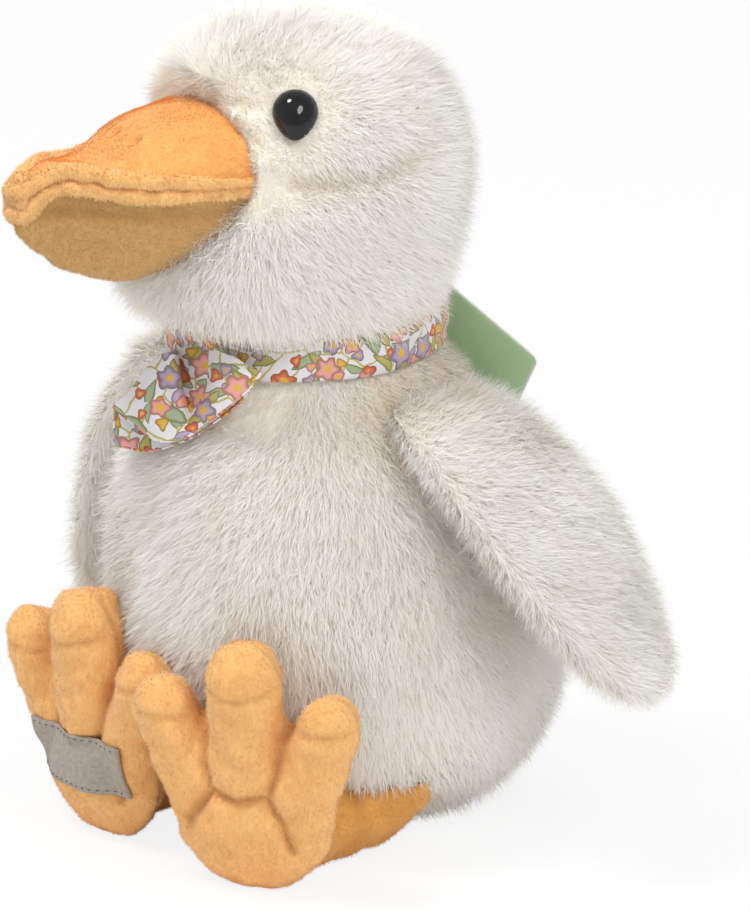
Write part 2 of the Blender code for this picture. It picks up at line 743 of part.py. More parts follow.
def build_wings(body_envelope):
    for side, word in ((1, "left"), (-1, "right")):
        outer = [wing_section(row, side, 0) for row in WING_SHARES]
        inner = [wing_section(row, side, -PLUSH) for row in WING_SHARES[1:-1]]
        core = [wing_section(row, side, -PLUSH - GAP) for row in WING_SHARES[1:-1]]
        tips = [wing_tip(side, grow) for grow in (0, -PLUSH, -PLUSH - GAP)]
        skin = loft(f"wing_{word}", outer[::-1] + inner, "plush", tips[0], tips[1])
        filling = loft(f"wing_filling_{word}", core, "fibre", last_tip=tips[2])
        carve(skin, body_envelope)
        carve(filling, body_envelope)


def build_tail(body_envelope):
    middle, _, half_depth = section_at(body_outline(), TAIL_HEIGHT)
    root = middle + half_depth - TAIL_SUNK
    rings = []
    for way_share, width_share, thick_share in TAIL_SHARES:
        centre = Vector((0, root + TAIL_LENGTH * way_share, TAIL_HEIGHT + TAIL_RISE * way_share))
        across = Vector((TAIL_HALF_WIDTH * width_share, 0, 0))
        rings.append(oval(centre, across, Vector((0, 0, TAIL_HALF_THICKNESS * thick_share)), LIMB_SIDES))
    tail = loft("tail", rings, "plush", last_tip=Vector((0, root + TAIL_LENGTH, TAIL_HEIGHT + TAIL_RISE)))
    carve(tail, body_envelope)


def pod(name, start, end, radius, half_thickness, finish=None):
    """A round-ended lobe of a foot, flattened through its thickness."""
    along = (end - start).normalized()
    through = Vector((0, 1, 0))
    across = along.cross(through).normalized()
    # Each row: way along the lobe in radii past its end, width.
    cap_shares = ((0.95, 0.31), (0.79, 0.61), (0.5, 0.866), (0.2, 0.98))
    places = [(start - along * radius * past_share, width_share) for past_share, width_share in cap_shares]
    places += [(start, 1.0), (end, 1.0)]
    places += [(end + along * radius * past_share, width_share) for past_share, width_share in reversed(cap_shares)]
    rings = [
        oval(at, across * radius * share, through * half_thickness * share, FOOT_SIDES) for at, share in places
    ]
    return loft(name, rings, finish, start - along * radius, end + along * radius)


def foot_frame(side):
    """Place and turn of a foot: its sole looks along its own -Y and its toes point up."""
    out, forward, splay = (
        (LEFT_FOOT_OUT, LEFT_FOOT_FORWARD, LEFT_FOOT_SPLAY)
        if side == 1
        else (RIGHT_FOOT_OUT, RIGHT_FOOT_FORWARD, RIGHT_FOOT_SPLAY)
    )
    place = Matrix.Translation(Vector((side * out, -forward, -SOLE_FLAT)))
    return place @ Matrix.Rotation(side * splay, 4, "Z") @ Matrix.Rotation(FOOT_LEAN, 4, "X")


def foot_shape(name, side, grow, finish=None):
    """A stuffed foot, sole forward: a palm with three toes grown out of it, its walls moved out by grow."""
    palm_rise = Vector((0, 0, PALM_HALF_HEIGHT - PALM_HALF_WIDTH))
    centre = Vector((0, 0, PALM_HALF_HEIGHT))
    thick = FOOT_HALF_THICKNESS + grow
    palm = pod(name, centre - palm_rise, centre + palm_rise, PALM_HALF_WIDTH + grow, thick, finish)
    toe_top = Vector((0, 0, MIDDLE_TOE_TIP - MIDDLE_TOE_RADIUS))
    toes = [pod(f"{name}_toe", centre, toe_top, MIDDLE_TOE_RADIUS + grow, thick * TOE_THICKNESS_SHARE)]
    for way in (1, -1):
        root = Vector((way * (PALM_HALF_WIDTH - TOE_RADIUS), 0, PALM_HALF_HEIGHT))
        tip = Vector((way * SIDE_TOE_SPREAD, 0, SIDE_TOE_TIP - TOE_RADIUS))
        toes.append(pod(f"{name}_toe", root, tip, TOE_RADIUS + grow, TOE_RADIUS + grow))
        low = Vector((way * WEB_OUT, WEB_SET_BACK, PALM_HALF_HEIGHT))
        high = Vector((way * WEB_OUT, WEB_SET_BACK, WEB_TOP - WEB_RADIUS))
        toes.append(pod(f"{name}_web", low, high, WEB_RADIUS + grow, WEB_HALF_THICKNESS + grow))
    for part in (palm, *toes):
        part.data.transform(foot_frame(side))
    for toe in toes:
        grown = palm.modifiers.new(toe.name, "BOOLEAN")
        grown.operation = "UNION"
        grown.object = toe
    return palm


def build_patch(side, foot):
    """A cloth patch that follows the sole, and its shallow seat there."""
    form = foot_shape("foot_form", side, 0)
    bpy.context.view_layer.update()
    surface = BVHTree.FromObject(form, bpy.context.evaluated_depsgraph_get())
    frame = foot_frame(side)
    inward = frame.to_3x3() @ Vector((0, 1, 0))
    ahead = -FOOT_HALF_THICKNESS - OVERRUN

    def sheet(name, grow, depth, thickness, finish=None):
        """A closed sheet laid on the sole: its far side lies at the depth in front of it."""
        rows = []
        for line in range(PATCH_LINES + 1):
            up = PATCH_RISE + (PATCH_HEIGHT + grow * 2) * (line / PATCH_LINES - 0.5)
            row = []
            for column in range(PATCH_COLUMNS + 1):
                across = (PATCH_WIDTH + grow * 2) * (column / PATCH_COLUMNS - 0.5)
                hit = surface.ray_cast(frame @ Vector((across, ahead, up)), inward)[0]
                row.append(hit - inward * depth)
            rows.append(row + [point - inward * thickness for point in reversed(row)])
        return loft(name, rows, finish)

    sheet("sole_patch", 0, GAP, PATCH_THICKNESS, "patch_cloth")
    carve(foot, sheet("sole_patch_room", GAP, -GAP, PATCH_THICKNESS + GAP * 3))


def build_legs(body_envelope):
    """Stuffed legs and feet, and the patch on the right sole."""
    mesh = bmesh.new()
    bmesh.ops.create_cube(mesh, size=1)
    span = (BELLY_HALF_WIDTH + BELLY_HALF_DEPTH) * 4
    mesh.transform(Matrix.Translation(Vector((0, 0, -OVERRUN / 2))) @ Matrix.Diagonal((span, span, OVERRUN, 1)))
    floor = add_object("floor_cutter", mesh)
    for side, word in ((1, "left"), (-1, "right")):
        foot = foot_shape(f"foot_{word}", side, 0, "foot_velour")
        foot_room = foot_shape(f"foot_room_{word}", side, GAP)
        ankle = foot_frame(side).translation
        ankle.z = LEG_HEIGHT
        hip = Vector((side * HIP_HALF_SPAN, HIP_SET_BACK, HIP_HEIGHT))
        path = []
        shares = []
        for way_share, out_share, rise_share, width_share in LEG_SHARES:
            path.append(Vector((
                between(ankle.x, hip.x, out_share),
                between(ankle.y, hip.y, way_share),
                between(ankle.z, hip.z, rise_share),
            )))
            shares.append(width_share)
        leg = tube(f"leg_{word}", path, LEG_RADIUS, LIMB_SIDES, "foot_velour", shares)
        carve(leg, body_envelope, foot_room, floor)
        carve(foot, body_envelope, floor)
        if side == -1:
            build_patch(side, foot)


def build_scarf(body_envelope):
    """A band round the neck, a bow at the throat and the knot that holds them together."""
    inner = NECK_RADIUS + GAP
    outer = inner + BAND_THICKNESS
    low = NECK_HEIGHT - BAND_WIDTH / 2
    high = NECK_HEIGHT + BAND_WIDTH / 2
    roll = BAND_WIDTH / 4
    bulge = outer + BAND_THICKNESS / 4
    corners = ((inner, low), (inner, high), (outer, high), (bulge, high - roll), (bulge, low + roll), (outer, low))

    def band(name, grow, finish=None):
        rows = []
        for index, (radius, height) in enumerate(corners):
            out = grow if index > 1 else -grow
            up = grow if index in (1, 2) else -grow if index in (0, 5) else 0
            rows.append(level_ring(height + up, 0, radius + out, radius + out, BODY_SIDES))
        return closed_profile(name, rows, finish)

    band("scarf_band", 0, "print_cotton")
    band_room = band("scarf_band_room", GAP)
    knot_front = bulge + GAP + KNOT_HALF_THICKNESS
    knot_centre = Vector((BOW_SIDEWAYS, -knot_front, NECK_HEIGHT - KNOT_DROP))

    def knot(name, grow, finish=None):
        rings = []
        for height_share, width_share in ((-0.95, 0.31), (-0.7, 0.71), (0.0, 1.0), (0.7, 0.71), (0.95, 0.31)):
            at = knot_centre + Vector((0, 0, (KNOT_HALF_HEIGHT + grow) * height_share))
            wide = Vector(((KNOT_HALF_WIDTH + grow) * width_share, 0, 0))
            rings.append(oval(at, wide, Vector((0, (KNOT_HALF_THICKNESS + grow) * width_share, 0)), LIMB_SIDES))
        ends = [knot_centre + Vector((0, 0, way * (KNOT_HALF_HEIGHT + grow))) for way in (-1, 1)]
        return loft(name, rings, finish, ends[0], ends[1])

    wrap = knot("bow_wrap", 0, "print_cotton")
    wrap_room = knot("bow_wrap_room", GAP)
    bow_height = NECK_HEIGHT - BOW_DROP
    middle, _, half_depth = section_at(body_outline(), bow_height)
    centre = Vector((BOW_SIDEWAYS, middle - half_depth - GAP - BOW_HALF_THICKNESS, bow_height))
    turn = Matrix.Translation(centre) @ Matrix.Rotation(BOW_LEAN, 4, "X") @ Matrix.Rotation(BOW_TILT, 4, "Y")
    rings = []
    for way_share, tall_share, thick_share in BOW_SHARES:
        at = Vector((BOW_HALF_LENGTH * (way_share * 2 - 1), 0, 0))
        tall = Vector((0, 0, BOW_HALF_HEIGHT * tall_share))
        thick = Vector((0, BOW_HALF_THICKNESS * thick_share, 0))
        rings.append([turn @ point for point in oval(at, tall, thick, LIMB_SIDES)])
    bow = loft("scarf_bow", rings, "print_cotton")
    carve(bow, body_envelope, band_room, wrap_room)
    carve(wrap, body_envelope)


def build_tag():
    """A card at the nape on a pin with a ball end, whose ball lies on the band."""
    band_back = NECK_RADIUS + GAP + BAND_THICKNESS + BAND_THICKNESS / 4
    ball = Vector((0, band_back + GAP + PIN_BALL_RADIUS, NECK_HEIGHT - PIN_DROP))
    hole = Vector((0, ball.y + CARD_STAND_OFF, NECK_HEIGHT - CARD_DROP))
    turn = Matrix.Rotation(CARD_LEAN, 4, "X") @ Matrix.Rotation(CARD_TILT, 4, "Y")
    frame = Matrix.Translation(hole) @ turn
    corner_points = []
    half = CARD_WIDTH / 2
    ends = (-CARD_HOLE_INSET, CARD_LENGTH - CARD_HOLE_INSET)
    for along, up, start in ((ends[1], half, 0), (ends[0], half, 1), (ends[0], -half, 2), (ends[1], -half, 3)):
        inset_x = along - math.copysign(CARD_CORNER, along)
        inset_z = up - math.copysign(CARD_CORNER, up)
        for step in range(3):
            angle = math.pi / 2 * (start + step / 2)
            corner_points.append((inset_x + CARD_CORNER * math.cos(angle), inset_z + CARD_CORNER * math.sin(angle)))
    thick = CARD_THICKNESS / 2
    rings = [[frame @ Vector((x, y, z)) for x, z in corner_points] for y in (-thick, thick)]
    card = loft("tag_card", rings, "green_card")
    axis = (turn.to_3x3() @ Vector((0, 1, 0))).normalized()
    across = (turn.to_3x3() @ Vector((1, 0, 0))).normalized()
    upward = axis.cross(across)

    def round_ring(at, radius, forward):
        side = forward.cross(Vector((0, 0, 1))).normalized()
        return oval(at, side * radius, side.cross(forward).normalized() * radius, LIMB_SIDES)

    bore = [oval(hole + axis * reach, across * CARD_HOLE_RADIUS, upward * CARD_HOLE_RADIUS, LIMB_SIDES)
            for reach in (-CARD_CORNER, CARD_CORNER)]
    carve(card, loft("tag_bore", bore))
    head_base = hole + axis * (thick + GAP)
    lean = (head_base - ball).normalized()
    # Each row: way along the ball's own line in radii, width.
    ball_shares = ((-0.7, 0.71), (0.0, 1.0), (0.7, 0.71))
    rings = [round_ring(ball + lean * PIN_BALL_RADIUS * way, PIN_BALL_RADIUS * wide, lean) for way, wide in ball_shares]
    rings.append(round_ring(ball + lean * PIN_BALL_RADIUS, PIN_RADIUS, lean))
    rings.append(round_ring(head_base, PIN_RADIUS, axis))
    rings.append(round_ring(head_base, PIN_HEAD_RADIUS, axis))
    rings.append(round_ring(head_base + axis * PIN_HEAD_THICKNESS, PIN_HEAD_RADIUS, axis))
    loft("tag_pin", rings, "washer_plastic", first_tip=ball - lean * PIN_BALL_RADIUS)
    return ball


def hang(joint, place, names):
    """Parents the named pieces to an empty on their joint's axis."""
    empty = bpy.data.objects.new(joint, None)
    empty.location = place
    bpy.context.scene.collection.objects.link(empty)
    for name in names:
        piece = bpy.data.objects[name]
        piece.parent = empty
        piece.matrix_parent_inverse = Matrix.Translation(-place)


def main():
    clear_scene()
    body_envelope = build_body()
    skin, filling, head_envelope = build_head()
    build_eyes(skin, filling)
    build_bill(head_envelope)
    build_wings(body_envelope)
    build_tail(body_envelope)
    build_legs(body_envelope)
    build_scarf(body_envelope)
    pin_ball = build_tag()

    head_pieces = ["head_skin", "head_filling", "bill_filling"]
    head_pieces += ["upper_bill", "lower_bill", "upper_lip", "lower_lip"]
    for side, word in ((1, "left"), (-1, "right")):
        head_pieces += [f"eye_{word}", f"eye_washer_{word}"]
        seam = shoulder_line()
        hang(f"shoulder_{word}", Vector((side * seam.x, seam.y, seam.z)), [f"wing_{word}", f"wing_filling_{word}"])
        limb = [f"leg_{word}", f"foot_{word}"] + (["sole_patch"] if side == -1 else [])
        hang(f"hip_{word}", Vector((side * SEAT_HALF_WIDTH, HIP_FOLD_BACK, HIP_FOLD_HEIGHT)), limb)
    hang("neck_turn", Vector((0, 0, NECK_HEIGHT)), head_pieces)
    hang("tag_swing", pin_ball, ["tag_card", "tag_pin"])


main()
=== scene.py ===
"""Looks of the sitting plush duck: long pile, velour bill and feet, a printed scarf and a card tag."""

import json
import math

import bmesh
import bpy
import numpy as np
from mathutils import Matrix, Vector
from mathutils.bvhtree import BVHTree
from mathutils.kdtree import KDTree

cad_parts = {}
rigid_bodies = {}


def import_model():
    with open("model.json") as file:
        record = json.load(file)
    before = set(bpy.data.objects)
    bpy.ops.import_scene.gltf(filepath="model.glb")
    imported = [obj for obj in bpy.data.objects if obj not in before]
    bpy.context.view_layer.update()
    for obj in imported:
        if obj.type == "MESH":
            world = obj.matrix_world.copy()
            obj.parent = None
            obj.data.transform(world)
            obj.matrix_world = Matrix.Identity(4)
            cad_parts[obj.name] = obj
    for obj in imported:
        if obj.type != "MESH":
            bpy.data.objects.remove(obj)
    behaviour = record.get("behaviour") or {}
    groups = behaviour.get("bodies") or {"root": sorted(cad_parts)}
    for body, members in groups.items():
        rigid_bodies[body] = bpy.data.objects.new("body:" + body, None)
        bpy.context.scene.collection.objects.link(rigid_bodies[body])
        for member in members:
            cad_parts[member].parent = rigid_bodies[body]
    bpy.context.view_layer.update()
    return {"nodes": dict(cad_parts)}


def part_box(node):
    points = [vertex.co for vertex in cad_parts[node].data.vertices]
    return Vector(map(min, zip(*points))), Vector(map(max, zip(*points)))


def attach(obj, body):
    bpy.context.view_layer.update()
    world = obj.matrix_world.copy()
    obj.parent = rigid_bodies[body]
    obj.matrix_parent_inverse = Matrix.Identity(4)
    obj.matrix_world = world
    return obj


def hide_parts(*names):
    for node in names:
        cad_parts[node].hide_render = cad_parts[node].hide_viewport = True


MM = 0.001
UP = np.array((0.0, 0.0, 1.0))
SIDES = (("left", 1), ("right", -1))

for old in list(bpy.data.objects):
    bpy.data.objects.remove(old, do_unlink=True)
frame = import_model()
NODES = frame["nodes"]

# Places that the looks share with the solids
NECK = 156 * MM
HEAD_TURN = math.radians(-21)
HEAD_FRAME = np.array((
    (math.cos(HEAD_TURN), -math.sin(HEAD_TURN), 0),
    (math.sin(HEAD_TURN), math.cos(HEAD_TURN), 0),
    (0, 0, 1),
))
EYE_AZIMUTH = math.radians(63)
EYE_ELEVATION = math.radians(37)
EYE_RADIUS = 6.75 * MM
# An eye's dome under the top of the CAD eye: its sink, its shifts, its foot, its rise and its drop's point
EYE_SINK, EYE_ASIDE, EYE_DOWN = 4.8 * MM, 1.2 * MM, 0.9 * MM
EYE_FOOT, EYE_RISE, EYE_POINT = 1.2 * MM, 6.2 * MM, 2.2 * MM
MOUTH = 208.3 * MM
BILL_ROOT = 24 * MM
BILL_REACH = 96 * MM
BILL_HALF_WIDTH = 32 * MM
RIDGE_RISE = 20 * MM
BOWL_DEPTH = 30.5 * MM
BILL_ROLL = math.radians(8)
MOUTH_WAVE = 3 * MM
# Each row: side, way out, way forward, splay.
FOOT_PLACES = {
    "left": (1, 31 * MM, -53 * MM, math.radians(21)),
    "right": (-1, 33 * MM, -49 * MM, math.radians(6)),
}
FOOT_LEAN = math.radians(8)

# Light, the floor and linear colours
WORLD_LIGHT = 0.6
FLOOR_GLOW_SHARE = 0.86
FLOOR_HEIGHT = -0.4 * MM
# Each row: name, place, size, power.
LAMPS = (
    ("key", (-0.3, -0.65, 1.75), 0.45, 16),
    ("side", (1.4, -0.4, 1.35), 0.7, 11),
)
# The pile's tones, from its white to deeper warm ones: the deeper ones paint shade where a piece's tone asks
# for them, and spread at random elsewhere
PILE_TONES = ((0.975, 0.96, 0.925, 1), (0.965, 0.94, 0.88, 1), (0.95, 0.89, 0.79, 1), (0.93, 0.84, 0.70, 1))
SKIN_TONE = (0.95, 0.91, 0.83, 1)
SKIN_DEEP_TONE = (0.95 * 0.93, 0.91 * 0.88, 0.83 * 0.80, 1)
BILL_TONES = ((0.90, 0.47, 0.14, 1), (0.89, 0.43, 0.12, 1), (0.92, 0.52, 0.18, 1))
# The lower bill's tan, taken darker to paint the shade under the upper bill
SHADED_BOWL_TONES = ((0.62, 0.37, 0.13, 1), (0.53, 0.29, 0.09, 1), (0.72, 0.47, 0.21, 1))
LIP_TONES = ((0.93, 0.58, 0.23, 1), (0.85, 0.47, 0.15, 1), (0.96, 0.70, 0.36, 1))
FOOT_TONES = ((0.87, 0.51, 0.19, 1), (0.84, 0.42, 0.13, 1), (0.90, 0.59, 0.27, 1))
LEG_TONES = ((0.80, 0.42, 0.11, 1), (0.76, 0.35, 0.08, 1), (0.85, 0.50, 0.18, 1))

# Pile lengths, and the most faces in one piece of pile
BODY_PILE = 9.5 * MM
HEAD_PILE = 9.2 * MM
WING_PILE = 8.5 * MM
TAIL_PILE = 7 * MM
UNDER_PILE_SHARE = 0.62
PIECE_FACES = 190000
# Heights over the floor
LOWEST_STRAND = 0.25 * MM
LOWEST_CLOTH = 0.15 * MM


def unit(rows):
    return rows / np.maximum(np.linalg.norm(rows, axis=-1, keepdims=True), 1e-9)


def apart_from(places, spot):
    return np.linalg.norm(places - spot, axis=-1)


def smooth_step(low, high, value):
    share = np.clip((value - low) / (high - low), 0, 1)
    return share * share * (3 - 2 * share)


def rise(low, high, value):
    """How far a value has come between two given in millimetres, as a smooth share."""
    return smooth_step(low * MM, high * MM, value)


def fall(low, high, value):
    return 1 - rise(low, high, value)


def peak(value, width):
    return np.exp(-((value / width) ** 2))


def waves(points, length, seed):
    """Smooth noise of about -1 to 1: a sum of seven plane waves of about that length in millimetres."""
    draw = np.random.default_rng(seed)
    ways = unit(draw.normal(size=(7, 3)))
    pace = 2 * math.pi / (length * MM * draw.uniform(0.7, 1.4, 7))
    start = draw.uniform(0, 2 * math.pi, 7)
    return np.sin((points @ ways.T) * pace + start).mean(axis=1) * 2


def sways(points, length, seed):
    """Three such noises, as the rows of a vector each."""
    return np.stack([waves(points, length, seed + index) for index in range(3)], axis=1)


def through(knots, values, at):
    """A smooth curve through the values at the knots, read at the given places."""
    knots, values, at = (np.asarray(rows, float) for rows in (knots, values, at))
    slopes = np.gradient(values, knots, axis=0)
    index = np.clip(np.searchsorted(knots, at) - 1, 0, len(knots) - 2)
    span = (knots[index + 1] - knots[index])[:, None]
    share = np.clip((at - knots[index])[:, None] / span, 0, 1)
    return (
        values[index] * (2 * share**3 - 3 * share**2 + 1)
        + slopes[index] * span * (share**3 - 2 * share**2 + share)
        + values[index + 1] * (3 * share**2 - 2 * share**3)
        + slopes[index + 1] * span * (share**3 - share**2)
    )


# Materials

def added(tree, kind, inputs=(), **settings):
    """A new shader node with these settings. Each input takes a value, or another node's output."""
    node = tree.nodes.new("ShaderNode" + kind)
    for key, value in settings.items():
        setattr(node, key, value)
    for key, value in dict(inputs).items():
        if isinstance(value, bpy.types.NodeSocket):
            tree.links.new(value, node.inputs[key])
        else:
            node.inputs[key].default_value = value
    return node


def principled(name, colour, roughness, **more):
    """A new material with these values on its shader, with its node tree and the shader."""
    made = bpy.data.materials.new(name)
    made.use_nodes = True
    shader = made.node_tree.nodes["Principled BSDF"]
    more.update(Base_Color=colour, Roughness=roughness)
    for key, value in more.items():
        shader.inputs[key.replace("_", " ")].default_value = value
    return made, made.node_tree, shader


def place_on(tree, kind="Object"):
    return added(tree, "TexCoord").outputs[kind]


def noise(tree, place, scale, detail, output="Fac"):
    inputs = {"Vector": place, "Scale": scale, "Detail": detail, "Roughness": 0.55}
    return added(tree, "TexNoise", inputs).outputs[output]


def ramp(tree, source, *stops, blend="LINEAR"):
    """The colour that a value picks. Each stop: its place, its colour."""
    made = added(tree, "ValToRGB", {"Fac": source})
    elements = made.color_ramp.elements
    while len(elements) < len(stops):
        elements.new(0.5)
    for element, (place, colour) in zip(elements, stops):
        element.position = place
        element.color = colour
    made.color_ramp.interpolation = blend
    return made.outputs["Color"]


def finished(tree, shader, colour, height, strength, distance):
    """Gives a shader its colour, and its bump from a height."""
    bump = added(tree, "Bump", {"Strength": strength, "Distance": distance, "Height": height})
    tree.links.new(bump.outputs["Normal"], shader.inputs["Normal"])
    if colour is not None:
        tree.links.new(colour, shader.inputs["Base Color"])


def velour(name, light, deep, shade):
    """Short-napped knit: a mottled nap with fine bump, deeper where the crease attribute says, which paints
    shade in creases and hollows and mottles the rolls at random.
    """
    made, tree, shader = principled(name, light, 0.9, Sheen_Weight=0.35, Sheen_Roughness=0.4)
    place = place_on(tree)
    fine = noise(tree, place, 900, 2)
    inputs = {0: fine, 1: 0.45, 2: noise(tree, place, 90, 3)}
    both = added(tree, "Math", inputs, operation="MULTIPLY_ADD").outputs["Value"]
    mottled = ramp(tree, both, (0.45, deep), (0.85, light))
    crease = added(tree, "Attribute", attribute_name="crease").outputs["Fac"]
    mix = added(tree, "Mix", {"Factor": crease, "A": mottled, "B": shade}, data_type="RGBA")
    finished(tree, shader, mix.outputs["Result"], fine, 0.5, 0.3 * MM)
    return made


def strand_finishes(name, tones, roughness):
    named = [(f"{name}_{index}", tone) for index, tone in enumerate(tones)]
    return [principled(word, tone, roughness, Sheen_Weight=0.2)[0] for word, tone in named]


def tone_set(name, tones):
    """Constant finishes for the nap of one cloth, and the cloth under it."""
    nap = strand_finishes(f"{name}_nap", tones, 0.85)
    deep = tuple(a * 0.5 + b * 0.5 for a, b in zip(tones[0], tones[1]))
    # The darker tone that the crease attribute mixes in: painted shade in creases and hollows, random
    # mottling on the rolls
    shade = tuple(part * 0.78 for part in tones[1][:3]) + (1,)
    return nap, velour(f"{name}_cloth", tones[0], deep, shade)


def plush_skin_material():
    made, tree, shader = principled("plush_skin", SKIN_TONE, 0.95)
    knit = noise(tree, place_on(tree), 260, 4)
    colour = ramp(tree, knit, (0.35, SKIN_DEEP_TONE), (0.65, SKIN_TONE))
    finished(tree, shader, colour, knit, 0.6, 0.5 * MM)
    return made


PILE = strand_finishes("pile", PILE_TONES, 0.75)
PLUSH_SKIN = plush_skin_material()


# Meshes

def surface_of(mesh):
    """The points of a mesh, and their normals."""
    found = []
    for key in ("co", "normal"):
        rows = np.zeros(len(mesh.vertices) * 3, np.float32)
        mesh.vertices.foreach_get(key, rows)
        found.append(rows.reshape(-1, 3).astype(float))
    return found


def set_points(mesh, points):
    mesh.vertices.foreach_set("co", np.asarray(points, np.float32).ravel())
    mesh.update()


def push(mesh, move, lowest=None):
    """Moves each point of a mesh along its normal, and lifts what would then be too low."""
    points, normals = surface_of(mesh)
    points = points + normals * np.reshape(move, (-1, 1))
    if lowest is not None:
        points[:, 2] = np.maximum(points[:, 2], lowest)
    set_points(mesh, points)


def relax(mesh, rounds):
    """Moves each point half way to the mean of its neighbours, that many times."""
    points = surface_of(mesh)[0]
    ends = np.zeros(len(mesh.edges) * 2, np.int32)
    mesh.edges.foreach_get("vertices", ends)
    first, second = ends.reshape(-1, 2).T
    count = np.bincount(ends, minlength=len(points))[:, None]
    for _ in range(rounds):
        total = np.zeros_like(points)
        np.add.at(total, first, points[second])
        np.add.at(total, second, points[first])
        points = points + (total / np.maximum(count, 1) - points) * 0.5
    set_points(mesh, points)


def grid_mesh(name, rows, closed=False, uv=None):
    """A surface over rows of points, each row a line across it. Closed rows join their ends."""
    rows = np.asarray(rows, float)
    index = np.arange(rows.shape[0] * rows.shape[1]).reshape(rows.shape[:2])
    following = np.roll(index, -1, axis=1)
    if not closed:
        index, following = index[:, :-1], following[:, :-1]
    faces = np.stack((index[:-1], following[:-1], following[1:], index[1:]), axis=-1).reshape(-1, 4)
    mesh = bpy.data.meshes.new(name)
    mesh.from_pydata(rows.reshape(-1, 3).tolist(), [], faces.tolist())
    mesh.shade_smooth()
    if uv is not None:
        layer = mesh.uv_layers.new(name="UVMap")
        loops = np.zeros(len(mesh.loops), np.int32)
        mesh.loops.foreach_get("vertex_index", loops)
        layer.data.foreach_set("uv", np.asarray(uv, np.float32).reshape(-1, 2)[loops].ravel())
    return mesh


def mended(mesh, merge=False, turn=True):
    """The mesh with its doubled points joined or its open ends filled, and its faces turned outwards."""
    whole = bmesh.new()
    whole.from_mesh(mesh)
    if merge:
        bmesh.ops.remove_doubles(whole, verts=whole.verts, dist=0.001 * MM)
    else:
        bmesh.ops.holes_fill(whole, edges=whole.edges[:], sides=0)
    if turn:
        bmesh.ops.recalc_face_normals(whole, faces=whole.faces[:])
    whole.to_mesh(mesh)
    whole.free()
    mesh.shade_smooth()
    return mesh


def tube(name, path, side, lift, wide, thick, count, uv=None):
    """A closed roll along a path, with its half sizes along the side and the lift at each point."""
    turn = np.linspace(0, 2 * math.pi, count, endpoint=False)[None, :, None]
    across = np.cos(turn) * side[:, None] * wide[:, None, None]
    upward = np.sin(turn) * lift[:, None] * thick[:, None, None]
    return mended(grid_mesh(name, path[:, None] + across + upward, True, uv))


def tree_of(mesh):
    faces = [tuple(face.vertices) for face in mesh.polygons]
    return BVHTree.FromPolygons([point.co for point in mesh.vertices], faces)


def outside_of(node, hollow=True):
    """A CAD node as a closed bmesh. The inner walls of a hollow one are dropped, and its openings filled."""
    mesh = bmesh.new()
    mesh.from_mesh(NODES[node].data)
    bmesh.ops.remove_doubles(mesh, verts=mesh.verts, dist=0.01 * MM)
    mesh.normal_update()
    tree = BVHTree.FromBMesh(mesh)
    inner = []
    for face in mesh.faces if hollow else ():
        start = face.calc_center_median() + face.normal * 0.1 * MM
        if tree.ray_cast(start, face.normal)[0] is not None:
            inner.append(face)
    bmesh.ops.delete(mesh, geom=inner, context="FACES")
    bmesh.ops.holes_fill(mesh, edges=mesh.edges[:], sides=0)
    bmesh.ops.triangulate(mesh, faces=mesh.faces[:])
    bmesh.ops.recalc_face_normals(mesh, faces=mesh.faces[:])
    return mesh


def new_object(name, mesh, *finishes):
    made = bpy.data.objects.new(name, mesh)
    bpy.context.scene.collection.objects.link(made)
    for finish in finishes:
        mesh.materials.append(finish)
    return made


def remeshed(name, source, voxel, rounds, grow):
    """The bmesh as an even, smoothed mesh of that voxel size, moved out by grow."""
    rough = bpy.data.meshes.new(name)
    source.to_mesh(rough)
    source.free()
    holder = new_object(name, rough)
    change = holder.modifiers.new("even", "REMESH")
    change.mode = "VOXEL"
    change.voxel_size = voxel
    graph = bpy.context.evaluated_depsgraph_get()
    even = bpy.data.meshes.new_from_object(holder.evaluated_get(graph))
    bpy.data.objects.remove(holder)
    relax(even, rounds)
    push(even, grow)
    even.shade_smooth()
    return even


def dressed(name, mesh, finish, body, slot, *replaced, fill=None):
    """A piece of the look on its body, in place of the CAD nodes named. The fill is not used."""
    made = new_object(name, mesh, finish)
    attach(made, body)
    if replaced:
        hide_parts(*replaced)
    return made


def thickened(made, thickness):
    change = made.modifiers.new("thickness", "SOLIDIFY")
    change.thickness = thickness
    change.offset = 0


def set_shade_and_mottle(mesh, values):
    # How much of the cloth's darker tone shows: painted shade in creases and hollows, random mottling on the
    # rolls
    layer = mesh.attributes.new("crease", "FLOAT", "POINT")
    layer.data.foreach_set("value", np.clip(values, 0, 1).astype(np.float32))


# Pile

def everywhere(place, normal):
    return np.ones(len(place), bool)


def scattered(mesh, count, draw):
    """Random places on a mesh, even over its area, with their normals."""
    mesh.calc_loop_triangles()
    corners = np.zeros(len(mesh.loop_triangles) * 3, np.int32)
    mesh.loop_triangles.foreach_get("vertices", corners)
    corners = corners.reshape(-1, 3)
    points, normals = surface_of(mesh)
    a, b, c = (points[corners[:, k]] for k in range(3))
    area = np.linalg.norm(np.cross(b - a, c - a), axis=1)
    pick = draw.choice(len(area), count, p=area / area.sum())
    root = np.sqrt(draw.random(count))[:, None]
    share = draw.random(count)[:, None]
    weights = (1 - root, root * (1 - share), root * share)
    place = sum(weight * points[corners[pick, k]] for k, weight in enumerate(weights))
    normal = unit(sum(weight * normals[corners[pick, k]] for k, weight in enumerate(weights)))
    return place, normal


def strand_curves(place, normal, flow, length, lean, curl, steps):
    """Points along each strand: it leaves the skin steeply and bends over along the flow."""
    curves = [place]
    for index in range(steps):
        share = (index + 0.5) / steps
        angle = lean * (0.35 + 0.9 * share) + curl * share
        way = normal * np.cos(angle)[:, None] + flow * np.sin(angle)[:, None]
        curves.append(curves[-1] + way * (length / steps)[:, None])
    return np.array(curves)


